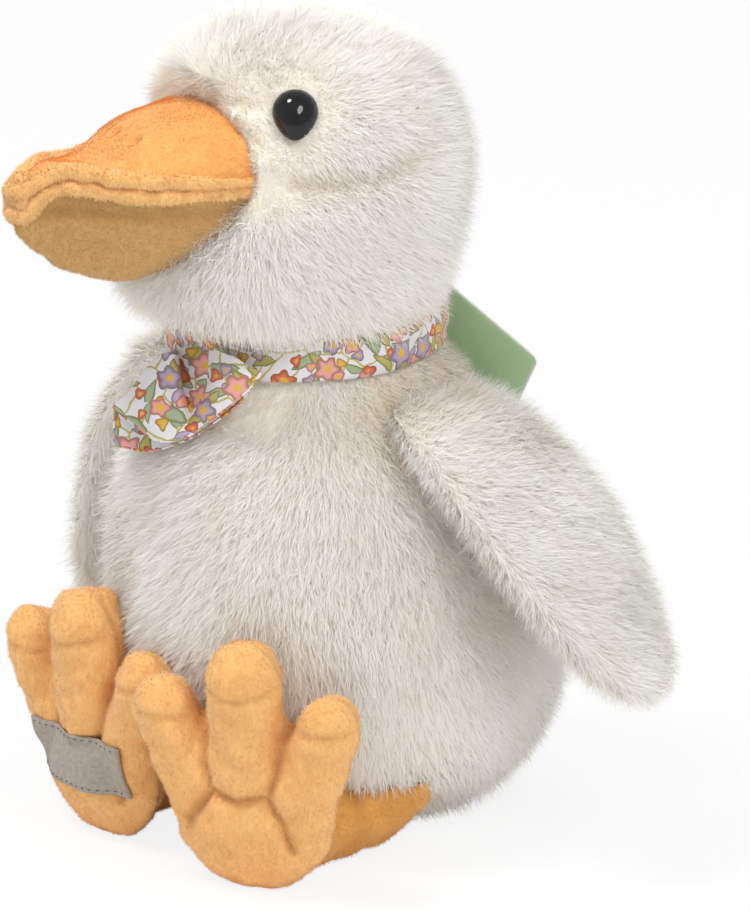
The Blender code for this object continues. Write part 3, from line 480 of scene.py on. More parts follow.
def clumped(curves, clump, pull, draw):
    """Draws the ends of the strands towards those of one strand in each clump."""
    count = curves.shape[1]
    centres = np.sort(draw.choice(count, max(8, int(count / clump)), replace=False))
    tree = KDTree(len(centres))
    for index, centre in enumerate(centres):
        tree.insert(curves[0, centre], index)
    tree.balance()
    own = centres[np.array([tree.find(point)[1] for point in curves[0]])]
    strength = pull * draw.uniform(0.4, 1.0, count)
    for index in range(1, len(curves)):
        share = (strength * (index / (len(curves) - 1)) ** 1.4)[:, None]
        curves[index] = curves[index] * (1 - share) + curves[index][own] * share


def pile_pieces(name, mesh, body, finishes, seed, count, pile, flow, keep, tone,
                width, lean, steps, stray, curl, clump=0, pull=0, upright=None):
    """Strands on a skin, in pieces of a set size. Pile, flow, keep and tone are functions of the places."""
    draw = np.random.default_rng(seed)
    place, normal = scattered(mesh, count, draw)
    kept = keep(place, normal)
    place, normal = place[kept], normal[kept]
    count = len(place)
    along = unit(flow(place, normal))
    along = along + draw.normal(scale=stray, size=along.shape)
    along = unit(along - normal * (along * normal).sum(axis=1)[:, None])
    length = pile(place) * draw.uniform(0.72, 1.12, count)
    angle = lean * draw.uniform(0.65, 1.25, count)
    if upright is not None:
        angle = angle * (1 - upright(place))
    curves = strand_curves(place, normal, along, length, angle, draw.normal(scale=curl, size=count), steps)
    if clump:
        clumped(curves, clump, pull, draw)
    curves[1:, :, 2] = np.maximum(curves[1:, :, 2], LOWEST_STRAND)
    tones = tone(place, draw)
    way = unit(curves[-1] - curves[0])
    side = unit(np.cross(way, normal + draw.normal(scale=0.05, size=normal.shape)))
    roll = draw.normal(scale=0.2, size=count)[:, None]
    side = side * np.cos(roll) + np.cross(way, side) * np.sin(roll)
    front = np.cross(side, way)
    side = np.where((front * normal).sum(axis=1)[:, None] < 0, -side, side)
    front = unit(np.cross(side, way))
    shown = unit(normal * 0.75 + front * 0.45 + draw.normal(scale=0.06, size=normal.shape))
    widths = width * draw.uniform(0.75, 1.25, count)
    order = draw.permutation(count)
    per_piece = PIECE_FACES // (2 * steps - 1)
    for number, start in enumerate(range(0, count, per_piece)):
        chosen = order[start:start + per_piece]
        made = ribbons(f"{name}_{number + 1}", curves[:, chosen], side[chosen], shown[chosen], widths[chosen],
                       tones[chosen], finishes)
        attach(made, body)


def ribbons(name, curves, side, shown, widths, tones, finishes):
    """Tapering ribbons along the curves, shaded with the given normals."""
    steps, count = curves.shape[0] - 1, curves.shape[1]
    each = steps * 2 + 1
    points = np.zeros((count, each, 3))
    pattern = []
    for index in range(steps):
        half = (widths * (1 - index / steps * 0.55) / 2)[:, None]
        low = index * 2
        points[:, low] = curves[index] - side * half
        points[:, low + 1] = curves[index] + side * half
        pattern += [(low, low + 1, low + 3), (low, low + 3, low + 2)]
    points[:, -1] = curves[-1]
    pattern[-2:] = [(low, low + 1, low + 2)]
    faces = (np.arange(count)[:, None, None] * each + np.array(pattern)[None]).reshape(-1, 3)
    mesh = bpy.data.meshes.new(name)
    mesh.vertices.add(count * each)
    mesh.vertices.foreach_set("co", points.astype(np.float32).ravel())
    mesh.loops.add(faces.size)
    mesh.loops.foreach_set("vertex_index", faces.astype(np.int32).ravel())
    mesh.polygons.add(len(faces))
    mesh.polygons.foreach_set("loop_start", np.arange(0, faces.size, 3, dtype=np.int32))
    mesh.update(calc_edges=True)
    made = new_object(name, mesh, *finishes)
    mesh.polygons.foreach_set("material_index", np.repeat(tones, len(pattern)).astype(np.int32))
    mesh.shade_smooth()
    mesh.normals_split_custom_set_from_vertices(np.repeat(shown, each, axis=0))
    return made


# The photographed view
VIEW_AZIMUTH = math.radians(43)
VIEW_ELEVATION = math.radians(18)
VIEW_SCALE = 3340
VIEW_X, VIEW_Y = 305, 815
VIEW_DISTANCE = 2.2
PHOTO_WIDTH, PHOTO_HEIGHT = 750, 913
VIEW_MIDDLE_FORWARD = 40 * MM
RIGHT = np.array((math.cos(VIEW_AZIMUTH), math.sin(VIEW_AZIMUTH), 0))
BACK = np.array((
    math.sin(VIEW_AZIMUTH) * math.cos(VIEW_ELEVATION),
    -math.cos(VIEW_AZIMUTH) * math.cos(VIEW_ELEVATION),
    math.sin(VIEW_ELEVATION),
))
UPWARD = np.cross(BACK, RIGHT)


def seen_at(x, y, forward):
    """The point seen at a place of the photograph, that far towards the camera from the frame's origin."""
    return RIGHT * ((x - VIEW_X) / VIEW_SCALE) + UPWARD * ((VIEW_Y - y) / VIEW_SCALE) + BACK * forward


def build_view():
    data = bpy.data.cameras.new("camera")
    camera = bpy.data.objects.new("camera", data)
    bpy.context.scene.collection.objects.link(camera)
    aim = seen_at(PHOTO_WIDTH / 2, PHOTO_HEIGHT / 2, VIEW_MIDDLE_FORWARD)
    turn = Matrix((RIGHT, UPWARD, BACK)).transposed().to_4x4()
    camera.matrix_world = Matrix.Translation(Vector(aim + BACK * VIEW_DISTANCE)) @ turn
    data.sensor_fit = "HORIZONTAL"
    data.sensor_width = 36
    data.lens = VIEW_SCALE * VIEW_DISTANCE * data.sensor_width / PHOTO_WIDTH
    data.clip_start = 0.01
    data.clip_end = 50
    bpy.context.scene.camera = camera


def build_studio():
    scene = bpy.context.scene
    scene.view_settings.view_transform = "Standard"
    scene.cycles.diffuse_bounces = 12
    scene.world = bpy.data.worlds.new("studio")
    scene.world.use_nodes = True
    tree = scene.world.node_tree
    path = added(tree, "LightPath").outputs
    rays = {0: path["Is Camera Ray"], 1: path["Is Transmission Ray"]}
    seen = added(tree, "Math", rays, operation="MAXIMUM").outputs["Value"]
    strength = added(tree, "MapRange", {"Value": seen, "To Min": WORLD_LIGHT, "To Max": 1.0})
    background = tree.nodes["Background"].inputs
    background["Color"].default_value = (1, 1, 1, 1)
    tree.links.new(strength.outputs["Result"], background["Strength"])

    made, tree, shader = principled("floor", (0.93, 0.93, 0.93, 1), 0.9)
    camera_ray = added(tree, "LightPath").outputs["Is Camera Ray"]
    share = added(tree, "Math", {0: camera_ray, 1: FLOOR_GLOW_SHARE}, operation="MULTIPLY").outputs["Value"]
    glow = added(tree, "Emission").outputs["Emission"]
    mix = added(tree, "MixShader", {0: share, 1: shader.outputs["BSDF"], 2: glow})
    tree.links.new(mix.outputs["Shader"], tree.nodes["Material Output"].inputs["Surface"])
    floor_mesh = grid_mesh("floor", [[(x, y, FLOOR_HEIGHT) for x in (-6, 6)] for y in (-6, 6)])
    new_object("floor", floor_mesh, made)
    for name, place, size, energy in LAMPS:
        data = bpy.data.lights.new(name, "AREA")
        data.shape = "DISK"
        data.size = size
        data.energy = energy
        lamp = bpy.data.objects.new(name, data)
        scene.collection.objects.link(lamp)
        lamp.location = place
        lamp.rotation_euler = (Vector((0, -0.02, 0.12)) - Vector(place)).to_track_quat("-Z", "Y").to_euler()


# Head and bill frames

def head_turned(points):
    """Points of the head's own frame, turned as the head is."""
    return np.asarray(points) @ HEAD_FRAME.T


def head_local(points):
    """Points in the head's own frame."""
    return points @ HEAD_FRAME


def bill_place(way, across, up):
    """A point of the bill from its way to the tip, its place across, and its height over the mouth."""
    roll = BILL_ROLL * way
    forward = BILL_ROOT + (BILL_REACH - BILL_ROOT) * way
    x = across * np.cos(roll) - up * np.sin(roll)
    z = MOUTH + across * np.sin(roll) + up * np.cos(roll)
    return head_turned(np.stack((x, -forward, z), axis=-1))


def eye_frame(side):
    """Directions of an eye: across the face, up the face, and outwards."""
    level = math.cos(EYE_ELEVATION)
    outward = (math.sin(side * EYE_AZIMUTH) * level, -math.cos(EYE_AZIMUTH) * level, math.sin(EYE_ELEVATION))
    outward = head_turned(outward)
    across = unit(np.cross(UP, outward))
    return across, np.cross(outward, across), outward


def eye_place(word, side):
    """The middle of an eye's dome."""
    across, upward, outward = eye_frame(side)
    cad = surface_of(NODES[f"eye_{word}"].data)[0]
    top = cad[np.argmax(cad @ outward)]
    return top - outward * EYE_SINK + side * across * EYE_ASIDE - upward * EYE_DOWN


BILL_AHEAD = head_turned((0.0, -1.0, 0.0))
MOUTH_CORNERS = [bill_place(0.06, side * 31.5 * MM, 0.0) for side in (1, -1)]
EYE_PLACES = [eye_place(word, side) for word, side in SIDES]
WING_TREES = [tree_of(NODES[f"wing_{word}"].data) for word, _ in SIDES]


# Plush pieces

def random_and_shade_tones(place, draw, shade_warmth):
    """Which tone each strand has: a random spread, with more of the deeper warm ones as painted shade where
    the given amount is high.
    """
    level = shade_warmth + 0.25 * waves(place, 18, 17) + draw.normal(scale=0.28, size=len(place))
    return np.clip(np.digitize(level, (0.28, 0.75, 1.25)), 0, 3)


def plush(name, nodes, body, voxel, rounds, inset, count, seed, pile, flow, keep, tone,
          lean=1.1, upright=None, shaped=None, pulls=(0.2, 0.25)):
    """A plush piece: a skin under the CAD form, with a dense under pile and longer guard strands."""
    mesh = remeshed(name, outside_of(nodes[0]), voxel, rounds, -inset)
    if shaped is not None:
        push(mesh, shaped(surface_of(mesh)[0]))
    dressed(name, mesh, PLUSH_SKIN, body, "plush", *nodes, fill=0.8)

    def under(place):
        return pile(place) * UNDER_PILE_SHARE

    pile_pieces(f"{name}_under", mesh, body, PILE, seed, int(count * 0.45), under, flow, keep, tone,
                0.26 * MM, lean * 0.85, 2, 0.5, 0.4, 14, pulls[0], upright)
    pile_pieces(f"{name}_pile", mesh, body, PILE, seed + 1, int(count * 0.55), pile, flow, keep,
                tone, 0.15 * MM, lean, 3, 0.4, 0.5, 18, pulls[1], upright)


def build_body():
    def flow(place, normal):
        """The body's pile hangs down, and sweeps aside in soft patches."""
        sway = np.stack((waves(place, 60, 11), waves(place, 60, 12), np.zeros(len(place))), axis=1)
        return -UP + 0.45 * sway + 0.25 * unit(place * np.array((1, 1, 0)))

    def under_bow(place):
        """How much a place lies under the bow, where the pile is pressed flat."""
        across = np.abs(place[:, 0] + 2 * MM)
        flat = fall(24, 30, across) * rise(129, 136, place[:, 2])
        return flat * (place[:, 1] < 0)

    def pile(place):
        short = 0.5 + 0.5 * rise(4, 16, np.abs(place[:, 2] - NECK))
        return BODY_PILE * short * (1 - 0.75 * under_bow(place)) * (1 + 0.15 * waves(place, 30, 13))

    def keep(place, normal):
        return (place[:, 2] < NECK - 4.5 * MM) & ~((place[:, 2] < 3 * MM) & (normal[:, 2] < -0.75))

    def tone(place, draw):
        """Painted shade: warmer, darker tones low down, at the chest and near a wing."""
        near = np.zeros(len(place))
        for tree in WING_TREES:
            apart = np.array([tree.find_nearest(Vector(spot))[3] for spot in place])
            near = np.maximum(near, fall(4, 16, apart))
        low = fall(0, 70, place[:, 2])
        chest_shade = fall(0, 26, np.abs(place[:, 2] - 140 * MM))
        return random_and_shade_tones(place, draw, 0.15 + 0.2 * low + 0.3 * chest_shade + 0.7 * near)

    plush("body_plush", ("body_skin", "body_filling", "pellet_bag"), "trunk", 2.6 * MM, 8, 2.2 * MM,
          230000, 101, pile, flow, keep, tone, 1.0)


def face_share(place):
    """How much a place lies in the clipped face or over the mouth's corners, and in the far brow."""
    x, y, z = head_local(place).T
    clipped = np.zeros(len(place))
    for eye, (near, far) in zip(EYE_PLACES, ((8, 19), (6, 9))):
        clipped = np.maximum(clipped, fall(near, far, apart_from(place, eye)))
    ahead = rise(-12, -30, y) * rise(202, 207, z)
    ahead = ahead * fall(229, 236, z) * rise(-6, 2, x)
    brow = rise(4, -8, x) * fall(26, 34, -x)
    brow = brow * rise(212, 220, z) * rise(-8, -18, y)
    for corner in MOUTH_CORNERS:
        clipped = np.maximum(clipped, fall(6, 13, apart_from(place, corner)))
    return np.maximum(clipped, ahead) * (1 - brow), brow


def bill_bed(place):
    """How much a place of the head lies in the bed over the bill's root, or round a corner of the mouth."""
    x, y, z = head_local(place).T
    bed = rise(1, 11, x) * rise(-17, -26, y)
    bed = bed * rise(214, 222, z) * fall(232, 243, z)
    for corner in MOUTH_CORNERS:
        bed = np.maximum(bed, 0.8 * fall(5, 13, apart_from(place, corner)))
    return bed


def cheek_crease(place):
    """How deep a place lies in the crease that runs back from the mouth's corner over the cheek."""
    _, y, z = head_local(place).T
    run = rise(-32, -22, y) * fall(8, 28, y)
    return peak(z - (211 * MM + 6 * MM * rise(-20, 25, y)), 4 * MM) * run


def build_head():
    def flow(place, normal):
        """The head's pile sweeps back from the bill's root, and down over the cheeks."""
        root = head_turned((0.0, -44 * MM, 212 * MM))
        return unit(place - root) - 0.55 * UP + 0.35 * sways(place, 40, 21)

    def shaped(place):
        brow = face_share(place)[1] * (1 - 1.3 * rise(230, 243, place[:, 2]))
        hollows = 2.6 * MM * cheek_crease(place) + 2.2 * MM * bill_bed(place) + 1.9 * MM * brow
        return 0.6 * MM * waves(place, 45, 26) - hollows

    def upright(place):
        clipped, brow = face_share(place)
        return 0.25 * brow + 0.25 * clipped

    def pile(place):
        short = 0.85 + 0.15 * rise(4, 16, place[:, 2] - NECK)
        clipped, brow = face_share(place)
        trim = (1 - 0.66 * clipped) * (1 - 0.3 * bill_bed(place)) * (1 - 0.12 * brow)
        trim = trim * (1 - 0.35 * cheek_crease(place))
        return HEAD_PILE * short * trim * (1 + 0.12 * waves(place, 26, 24))

    def keep(place, normal):
        return place[:, 2] > NECK + 4 * MM

    def tone(place, draw):
        # Painted shade: warmer, darker tones low under the chin and in the cheek's crease
        chin_shade = fall(0, 22, place[:, 2] - NECK)
        return random_and_shade_tones(place, draw, 0.1 + 1.0 * chin_shade + 0.8 * cheek_crease(place))

    plush("head_plush", ("head_skin", "head_filling", "eye_washer_left", "eye_washer_right"), "head",
          2.2 * MM, 6, 2.0 * MM, 165000, 201, pile, flow, keep, tone, 0.95, upright, shaped, (0.1, 0.17))


def build_wings():
    for word, side in SIDES:
        low, high = (np.array(corner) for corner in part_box(f"wing_{word}"))
        seam = np.array((side * 45 * MM, 3 * MM, 142 * MM))
        tip = np.array((high[0] if side > 0 else low[0], high[1], low[2]))
        span = unit(tip - seam)

        def flow(place, normal):
            return span + 0.3 * sways(place, 30, 31)

        def pile(place):
            root = fall(12, 30, apart_from(place, seam))
            return WING_PILE * (1 + 0.1 * root) * (1 + 0.1 * waves(place, 26, 34))

        def tone(place, draw):
            # Painted shade: warmer, darker tones near the wing's root, where it meets the body
            return random_and_shade_tones(place, draw, 0.12 + 0.5 * fall(0, 35, apart_from(place, seam)))

        plush(f"wing_{word}_plush", (f"wing_{word}", f"wing_filling_{word}"), f"{word}_wing",
              2.0 * MM, 11, 1.4 * MM, 78000, 301 + side, pile, flow, everywhere, tone, 0.95)


def build_tail():
    def flow(place, normal):
        return np.tile(np.array((0, 1.0, 0.3)), (len(place), 1)) + 0.2 * normal

    def pile(place):
        return np.full(len(place), TAIL_PILE)

    def tone(place, draw):
        return random_and_shade_tones(place, draw, 0.15)

    plush("tail_plush", ("tail",), "trunk", 1.6 * MM, 4, 1.5 * MM, 9000, 401, pile, flow, everywhere, tone)


# Bill

# Each row: way from root to tip, half width, ridge rise, bowl depth, mouth line's rise on its wave.
BILL_SHARES = np.array((
    (0.0, 0.98, 1.02, 0.86, 0.1),
    (0.2, 0.98, 0.95, 0.92, 0.0),
    (0.37, 0.92, 0.80, 0.97, 0.0),
    (0.52, 0.79, 0.44, 1.0, 0.0),
    (0.64, 0.62, 0.22, 0.98, 0.2),
    (0.72, 0.46, 0.17, 0.95, 0.6),
    (0.79, 0.35, 0.16, 0.90, 0.8),
    (0.87, 0.24, 0.15, 0.68, 0.2),
    (0.94, 0.14, 0.13, 0.46, -0.6),
    (1.0, 0.06, 0.08, 0.24, -1.0),
))
BILL_END_SHARE = 0.965
# Each row: way to the tip, height in millimetres, down the fold at the bill's tip.
TIP_LINE = np.array(((0.885, 2.0), (0.925, 1.4), (0.948, -1.6), (0.953, -5.0), (0.94, -8.4), (0.915, -11.0)))
# How much of the nap has each of the three tones
NAP_SHARES = (0.5, 0.25, 0.25)
ROLL_NAP_SHARES = (0.45, 0.25, 0.3)
LEG_NAP_SHARES = (0.4, 0.45, 0.15)


def bill_rows(ways):
    return through(BILL_SHARES[:, 0], BILL_SHARES[:, 1:], ways).T


def velvet(name, mesh, cloth, body, slot, seed, count, length, shares, *replaced,
           fill=0.8, keep=everywhere, width=0.16 * MM, lie=-UP):
    """A velour piece in place of the CAD nodes named, and its short nap, brushed along the lie."""
    nap_finishes, finish = cloth
    piece = dressed(name, mesh, finish, body, slot, *replaced, fill=fill)

    def flow(place, normal):
        return lie + 0.3 * sways(place, 16, seed)

    def tone(place, draw):
        return draw.choice(3, len(place), p=shares)

    def pile(place):
        return length * (1 + 0.2 * waves(place, 5, seed + 5))

    nap_name = name.rsplit("_", 1)[0] + "_nap"
    pile_pieces(nap_name, mesh, body, nap_finishes, seed, count, pile, flow, keep, tone,
                width, 0.7, 1, 0.3, 0.25)
    return piece


def bill_shell(name, way, ways, height, power):
    """One half of the bill as an open shell with a closed tip, above the mouth or below it."""
    columns, lift = 61, 2.2 * MM
    wide, _, _, wave = bill_rows(ways)
    turn = np.linspace(0, math.pi, columns)
    tall = np.maximum(height - lift, 0.6 * MM)
    rows = []
    for index, at in enumerate(ways):
        across = np.cos(turn) * wide[index] * BILL_HALF_WIDTH
        up = MOUTH_WAVE * wave[index] + way * (lift + np.sin(turn) ** power[index] * tall[index])
        rows.append(bill_place(np.full(columns, at), across, up))
    end = rows[-1].mean(axis=0) + BILL_AHEAD * 0.8 * MM
    rows.append(rows[-1] * 0.5 + (end + BILL_AHEAD * 0.3 * MM) * 0.5)
    rows.append(np.repeat(end[None], columns, axis=0))
    mesh = mended(grid_mesh(name, rows if way > 0 else [row[::-1] for row in rows]), merge=True, turn=False)
    if way * surface_of(mesh)[1][:, 2].mean() < 0:
        mesh.flip_normals()
    return mesh


def build_bill():
    upper_cloth = tone_set("upper_bill", BILL_TONES)
    lower_cloth = tone_set("lower_bill", SHADED_BOWL_TONES)
    lip_cloth = tone_set("lip", LIP_TONES)
    ways = np.linspace(0, BILL_END_SHARE, 90)
    _, ridge, bowl, _ = bill_rows(ways)

    power = 1.0 + 0.35 * smooth_step(0.45, 0.8, ways)
    mesh = bill_shell("upper_bill_velour", 1, ways, ridge * RIDGE_RISE, power)
    points = surface_of(mesh)[0]
    move = 0.12 * MM * waves(points, 8, 51) + 0.3 * MM * waves(points, 18, 52)
    crease = np.zeros(len(points))
    nostrils = []
    for side in (1, -1):
        spot = bill_place(0.47, side * 7 * MM, 11 * MM)
        nostrils.append(np.argmin(apart_from(points, spot)))
        apart = apart_from(points, points[nostrils[-1]])
        move += 0.3 * MM * peak(apart - 3.6 * MM, 1.4 * MM)
        move -= 2.4 * MM * peak(apart, 1.6 * MM)
        crease += 1.4 * peak(apart, 1.5 * MM)
    push(mesh, move)
    # The darker tone: painted shade in the nostril dimples, and deeper towards the bill's root
    set_shade_and_mottle(mesh, crease + 0.35 * rise(-56, -36, head_local(points)[:, 1]))
    dimples = surface_of(mesh)[0][nostrils]

    # The nap is left out of the dimples, so their painted shade shows
    def off_dimples(place, normal):
        return np.min([apart_from(place, dimple) for dimple in dimples], axis=0) > 1.6 * MM

    upper = velvet("upper_bill_velour", mesh, upper_cloth, "head", "orange_velour", 61, 42000, 0.55 * MM,
                   NAP_SHARES, "upper_bill", "bill_filling", fill=None, keep=off_dimples, lie=BILL_AHEAD)

    mesh = bill_shell("lower_bill_velour", -1, ways, bowl * BOWL_DEPTH, np.full(len(ways), 0.92))
    points = surface_of(mesh)[0]
    _, y, z = head_local(points).T
    under_lip = MOUTH - z
    tuck = peak(under_lip - 6 * MM, 2.6 * MM)
    move = 0.3 * MM * waves(points, 9, 53) + 0.5 * MM * waves(points, 22, 54) - 0.7 * MM * tuck
    folds = np.sin(y / (2.6 * MM) + 2 * waves(points, 14, 55))
    push(mesh, move + 0.18 * MM * folds * rise(16, 4, under_lip))
    # The darker tone: painted shade in the tuck under the lip, growing towards the lip
    set_shade_and_mottle(mesh, 0.55 * tuck + 0.25 * rise(20, 3, under_lip))
    lower = velvet("lower_bill_velour", mesh, lower_cloth, "head", "tan_velour", 71, 40000, 0.8 * MM,
                   NAP_SHARES, "lower_bill", fill=None, lie=unit(-BILL_AHEAD - 0.6 * UP))

    for way, word, slot in ((1, "upper", "orange_velour"), (-1, "lower", "tan_velour")):
        name = f"{word}_lip_roll"
        velvet(name, lip_mesh(name, way), lip_cloth, "head", slot, 81 + way, 17000, 1.15 * MM,
               ROLL_NAP_SHARES, f"{word}_lip", fill=0.6, width=0.2 * MM)
    velvet("bill_tip_roll", tip_mesh("bill_tip_roll"), lip_cloth, "head", "orange_velour", 88, 6000,
           1.15 * MM, ROLL_NAP_SHARES, width=0.2 * MM)


def tip_mesh(name):
    """The thick soft fold at the bill's tip, which turns down over the front of the bowl."""
    shares = np.linspace(0, 1, 32)
    spots = through(np.linspace(0, 1, len(TIP_LINE)), TIP_LINE, shares)
    path = bill_place(spots[:, 0], np.zeros(32), spots[:, 1] * MM)
    side = np.tile(head_turned((1.0, 0.0, 0.0)), (32, 1))
    front = np.cross(unit(np.gradient(path, axis=0)), side)
    swell = np.sqrt(np.clip(np.sin(math.pi * (0.04 + 0.92 * shares)), 0, 1))
    wide = (7.0 * MM - 1.2 * MM * shares) * swell
    thick = (3.0 * MM - 0.4 * MM * shares) * swell
    mesh = tube(name, path, side, front, wide, thick, 28)
    points = surface_of(mesh)[0]
    push(mesh, 0.3 * MM * waves(points, 6, 98))
    set_shade_and_mottle(mesh, 0.2 + 0.2 * waves(points, 9, 99))
    return mesh


def lip_mesh(name, way):
    """One soft roll along the mouth from corner to corner, thicker and turned down at the tip."""
    ways = np.concatenate((np.linspace(0.055, 0.92, 80), np.linspace(0.93, 0.955, 8)))
    wide, _, _, wave = bill_rows(ways)
    edge = wide * BILL_HALF_WIDTH - 0.8 * MM
    tip = smooth_step(0.84, 0.98, ways)
    droop = (3.6 * MM if way < 0 else 1.4 * MM) * tip
    apart = 1.35 * MM + 0.75 * MM * smooth_step(0.15, 0.5, ways)
    up = MOUTH_WAVE * wave + way * apart - droop
    middle = bill_place(np.full(2, BILL_END_SHARE), np.array([0.9 * MM, -0.9 * MM]), np.full(2, up[-1]))
    path = np.concatenate((bill_place(ways, edge, up), middle, bill_place(ways, -edge, up)[::-1]))
    path[1:-1] = (path[:-2] + path[1:-1] * 2 + path[2:]) / 4
    swell = np.concatenate((tip, (1, 1), tip[::-1]))
    away = smooth_step(0.12, 0.5, ways)
    away = np.concatenate((away, (1, 1), away[::-1]))
    ahead = unit(np.gradient(path, axis=0))
    out = unit(np.cross(ahead, UP))
    radius = 1.95 * MM * (1 + 0.22 * away + 0.35 * swell)
    radius = radius * (1 + 0.07 * waves(path, 7, 91 + way))
    corner = np.minimum(np.arange(len(path)), np.arange(len(path))[::-1])
    radius = radius * (0.75 + 0.25 * smooth_step(0, 6, corner))
    mesh = tube(name, path, out, np.cross(out, ahead), radius, radius * 0.96, 24)
    points = surface_of(mesh)[0]
    puckers = np.sin(head_local(points)[:, 1] / (1.6 * MM) + 3 * waves(points, 8, 95))
    push(mesh, 0.22 * MM * waves(points, 5, 93 + way) + 0.08 * MM * puckers)
    set_shade_and_mottle(mesh, 0.3 - 0.3 * waves(points, 9, 97))
    return mesh


def build_eyes():
    made, tree, shader = principled("eye_gloss", (0.006, 0.006, 0.008, 1), 0.05, Specular_IOR_Level=0.4)
    depth = noise(tree, place_on(tree), 400, 2)
    colour = ramp(tree, depth, (0.3, (0.004, 0.004, 0.005, 1)), (0.8, (0.012, 0.011, 0.012, 1)))
    tree.links.new(colour, shader.inputs["Base Color"])
    turn = np.linspace(0, 2 * math.pi, 48, endpoint=False)
    for (word, side), base in zip(SIDES, EYE_PLACES):
        across, upward, outward = eye_frame(side)
        rows = []
        for angle in np.linspace(0, 1, 20) * math.pi / 2:
            radius = EYE_RADIUS * math.cos(angle) + 1e-5
            x = np.cos(turn) * radius
            y = np.sin(turn) * radius - np.maximum(0, -np.sin(turn)) ** 3 * EYE_POINT * radius / EYE_RADIUS
            height = EYE_RISE * math.sin(angle) - EYE_FOOT
            rows.append(base + x[:, None] * across + y[:, None] * upward + height * outward)
        mesh = mended(grid_mesh(f"eye_{word}_dome", rows, closed=True))
        dressed(f"eye_{word}_dome", mesh, made, "head", "eye_plastic", f"eye_{word}")


# Feet

# Creases of the sole and the toes, in millimetres across and up the foot
SOLE_CREASES = (
    ((-12.0, 52.0), (-11.5, 42.0), (-9.0, 34.5), (0.0, 32.5), (9.0, 34.5), (11.5, 42.0), (12.0, 52.0)),
    ((9.0, 34.5), (13.0, 26.0), (15.0, 17.0)),
    ((-9.0, 34.5), (-15.0, 27.0), (-19.0, 22.0)),
)
TOE_CREASES = (
    ((-9.0, 67.0), (0.0, 65.5), (9.0, 67.0)),
    ((-33.0, 57.0), (-19.0, 55.5)),
    ((33.0, 57.0), (19.0, 55.5)),
)
PATCH_WIDTH = 41 * MM
PATCH_HEIGHT = 17.5 * MM
PATCH_MIDDLE = 27 * MM


def foot_frame(word):
    """A foot's own frame: across, through with the sole at the negative side, and up."""
    side, out, forward, splay = FOOT_PLACES[word]
    made = Matrix.Translation(Vector((side * out, forward, -0.5 * MM)))
    return made @ Matrix.Rotation(side * splay, 4, "Z") @ Matrix.Rotation(FOOT_LEAN, 4, "X")


def line_distance(points, line):
    """Distance of plane points to a broken line given in millimetres."""
    best = np.full(len(points), 1.0)
    line = np.array(line) * MM
    for start, end in zip(line, line[1:]):
        span = end - start
        share = np.clip(((points - start) @ span) / (span @ span), 0, 1)
        best = np.minimum(best, np.linalg.norm(points - start - share[:, None] * span, axis=1))
    return best


def shape_foot(mesh, frame_of):
    """Stuffs a foot: creases round the toes, puffed pads between them, a sunk seam and small lumps."""
    points, normals = surface_of(mesh)
    back = np.array(frame_of.inverted())
    local = points @ back[:3, :3].T + back[:3, 3]
    facing = smooth_step(0.25, -0.35, normals @ np.array(frame_of)[:3, 1])
    plane = local[:, (0, 2)]
    crease = np.zeros(len(points))
    near = [line_distance(plane, line) for line in SOLE_CREASES]
    for apart in near:
        crease = np.maximum(crease, peak(apart, 1.5 * MM))
    puff = rise(0.5, 8, np.minimum.reduce(near))
    move = facing * (-2.6 * MM * crease + 1.3 * MM * puff)
    for line in TOE_CREASES:
        dent = peak(line_distance(plane, line), 0.9 * MM)
        move -= 0.8 * MM * dent * facing
        crease = np.maximum(crease, 0.6 * dent)
    seam = peak(local[:, 1] - 1.5 * MM, 0.9 * MM)
    move -= 0.7 * MM * seam
    lumps = 0.35 * MM * waves(points, 6, 111) + 0.5 * MM * waves(points, 15, 112)
    push(mesh, move + lumps, LOWEST_CLOTH)
    # The darker tone: painted shade in the creases of the sole and toes, in the sunk seam and over the back
    # of the foot
    back_shade = rise(-2, 6, local[:, 1])
    set_shade_and_mottle(mesh, np.maximum(0.8 * crease * facing, 0.45 * back_shade) + 0.35 * seam)


def shape_leg(mesh):
    """Soft folds across a leg."""
    points = surface_of(mesh)[0]
    folds = np.sin(points[:, 1] / (2.2 * MM) + 1.5 * waves(points, 14, 115))
    push(mesh, 0.5 * MM * waves(points, 9, 114) + 0.3 * MM * folds, LOWEST_CLOTH)
    # The darker tone: a deeper tone all over, with painted shade along the folds
    set_shade_and_mottle(mesh, 0.45 + 0.3 * folds)


def build_feet():
    foot_cloth = tone_set("foot", FOOT_TONES)
    leg_cloth = tone_set("leg", LEG_TONES)
    thread = principled("foot_thread", (0.80, 0.42, 0.13, 1), 0.7)[0]

    def keep(place, normal):
        return place[:, 2] > 0.6 * MM

    for word, side in SIDES:
        body = f"{word}_limb"
        frame_of = foot_frame(word)
        name = f"foot_{word}_velour"
        mesh = remeshed(name, outside_of(f"foot_{word}", False), 1.25 * MM, 9, 0.5 * MM)
        shape_foot(mesh, frame_of)
        velvet(name, mesh, foot_cloth, body, "foot_velour", 121, 42000, 0.95 * MM, ROLL_NAP_SHARES,
               f"foot_{word}", keep=keep)
        name = f"leg_{word}_velour"
        leg_mesh = remeshed(name, outside_of(f"leg_{word}", False), 1.3 * MM, 9, 0.6 * MM)
        shape_leg(leg_mesh)
        velvet(name, leg_mesh, leg_cloth, body, "foot_velour", 131, 11000, 1.0 * MM, LEG_NAP_SHARES,
               f"leg_{word}", keep=keep)
        build_seam_stitches(word, side, body, tree_of(mesh), frame_of, thread)
    build_patch()


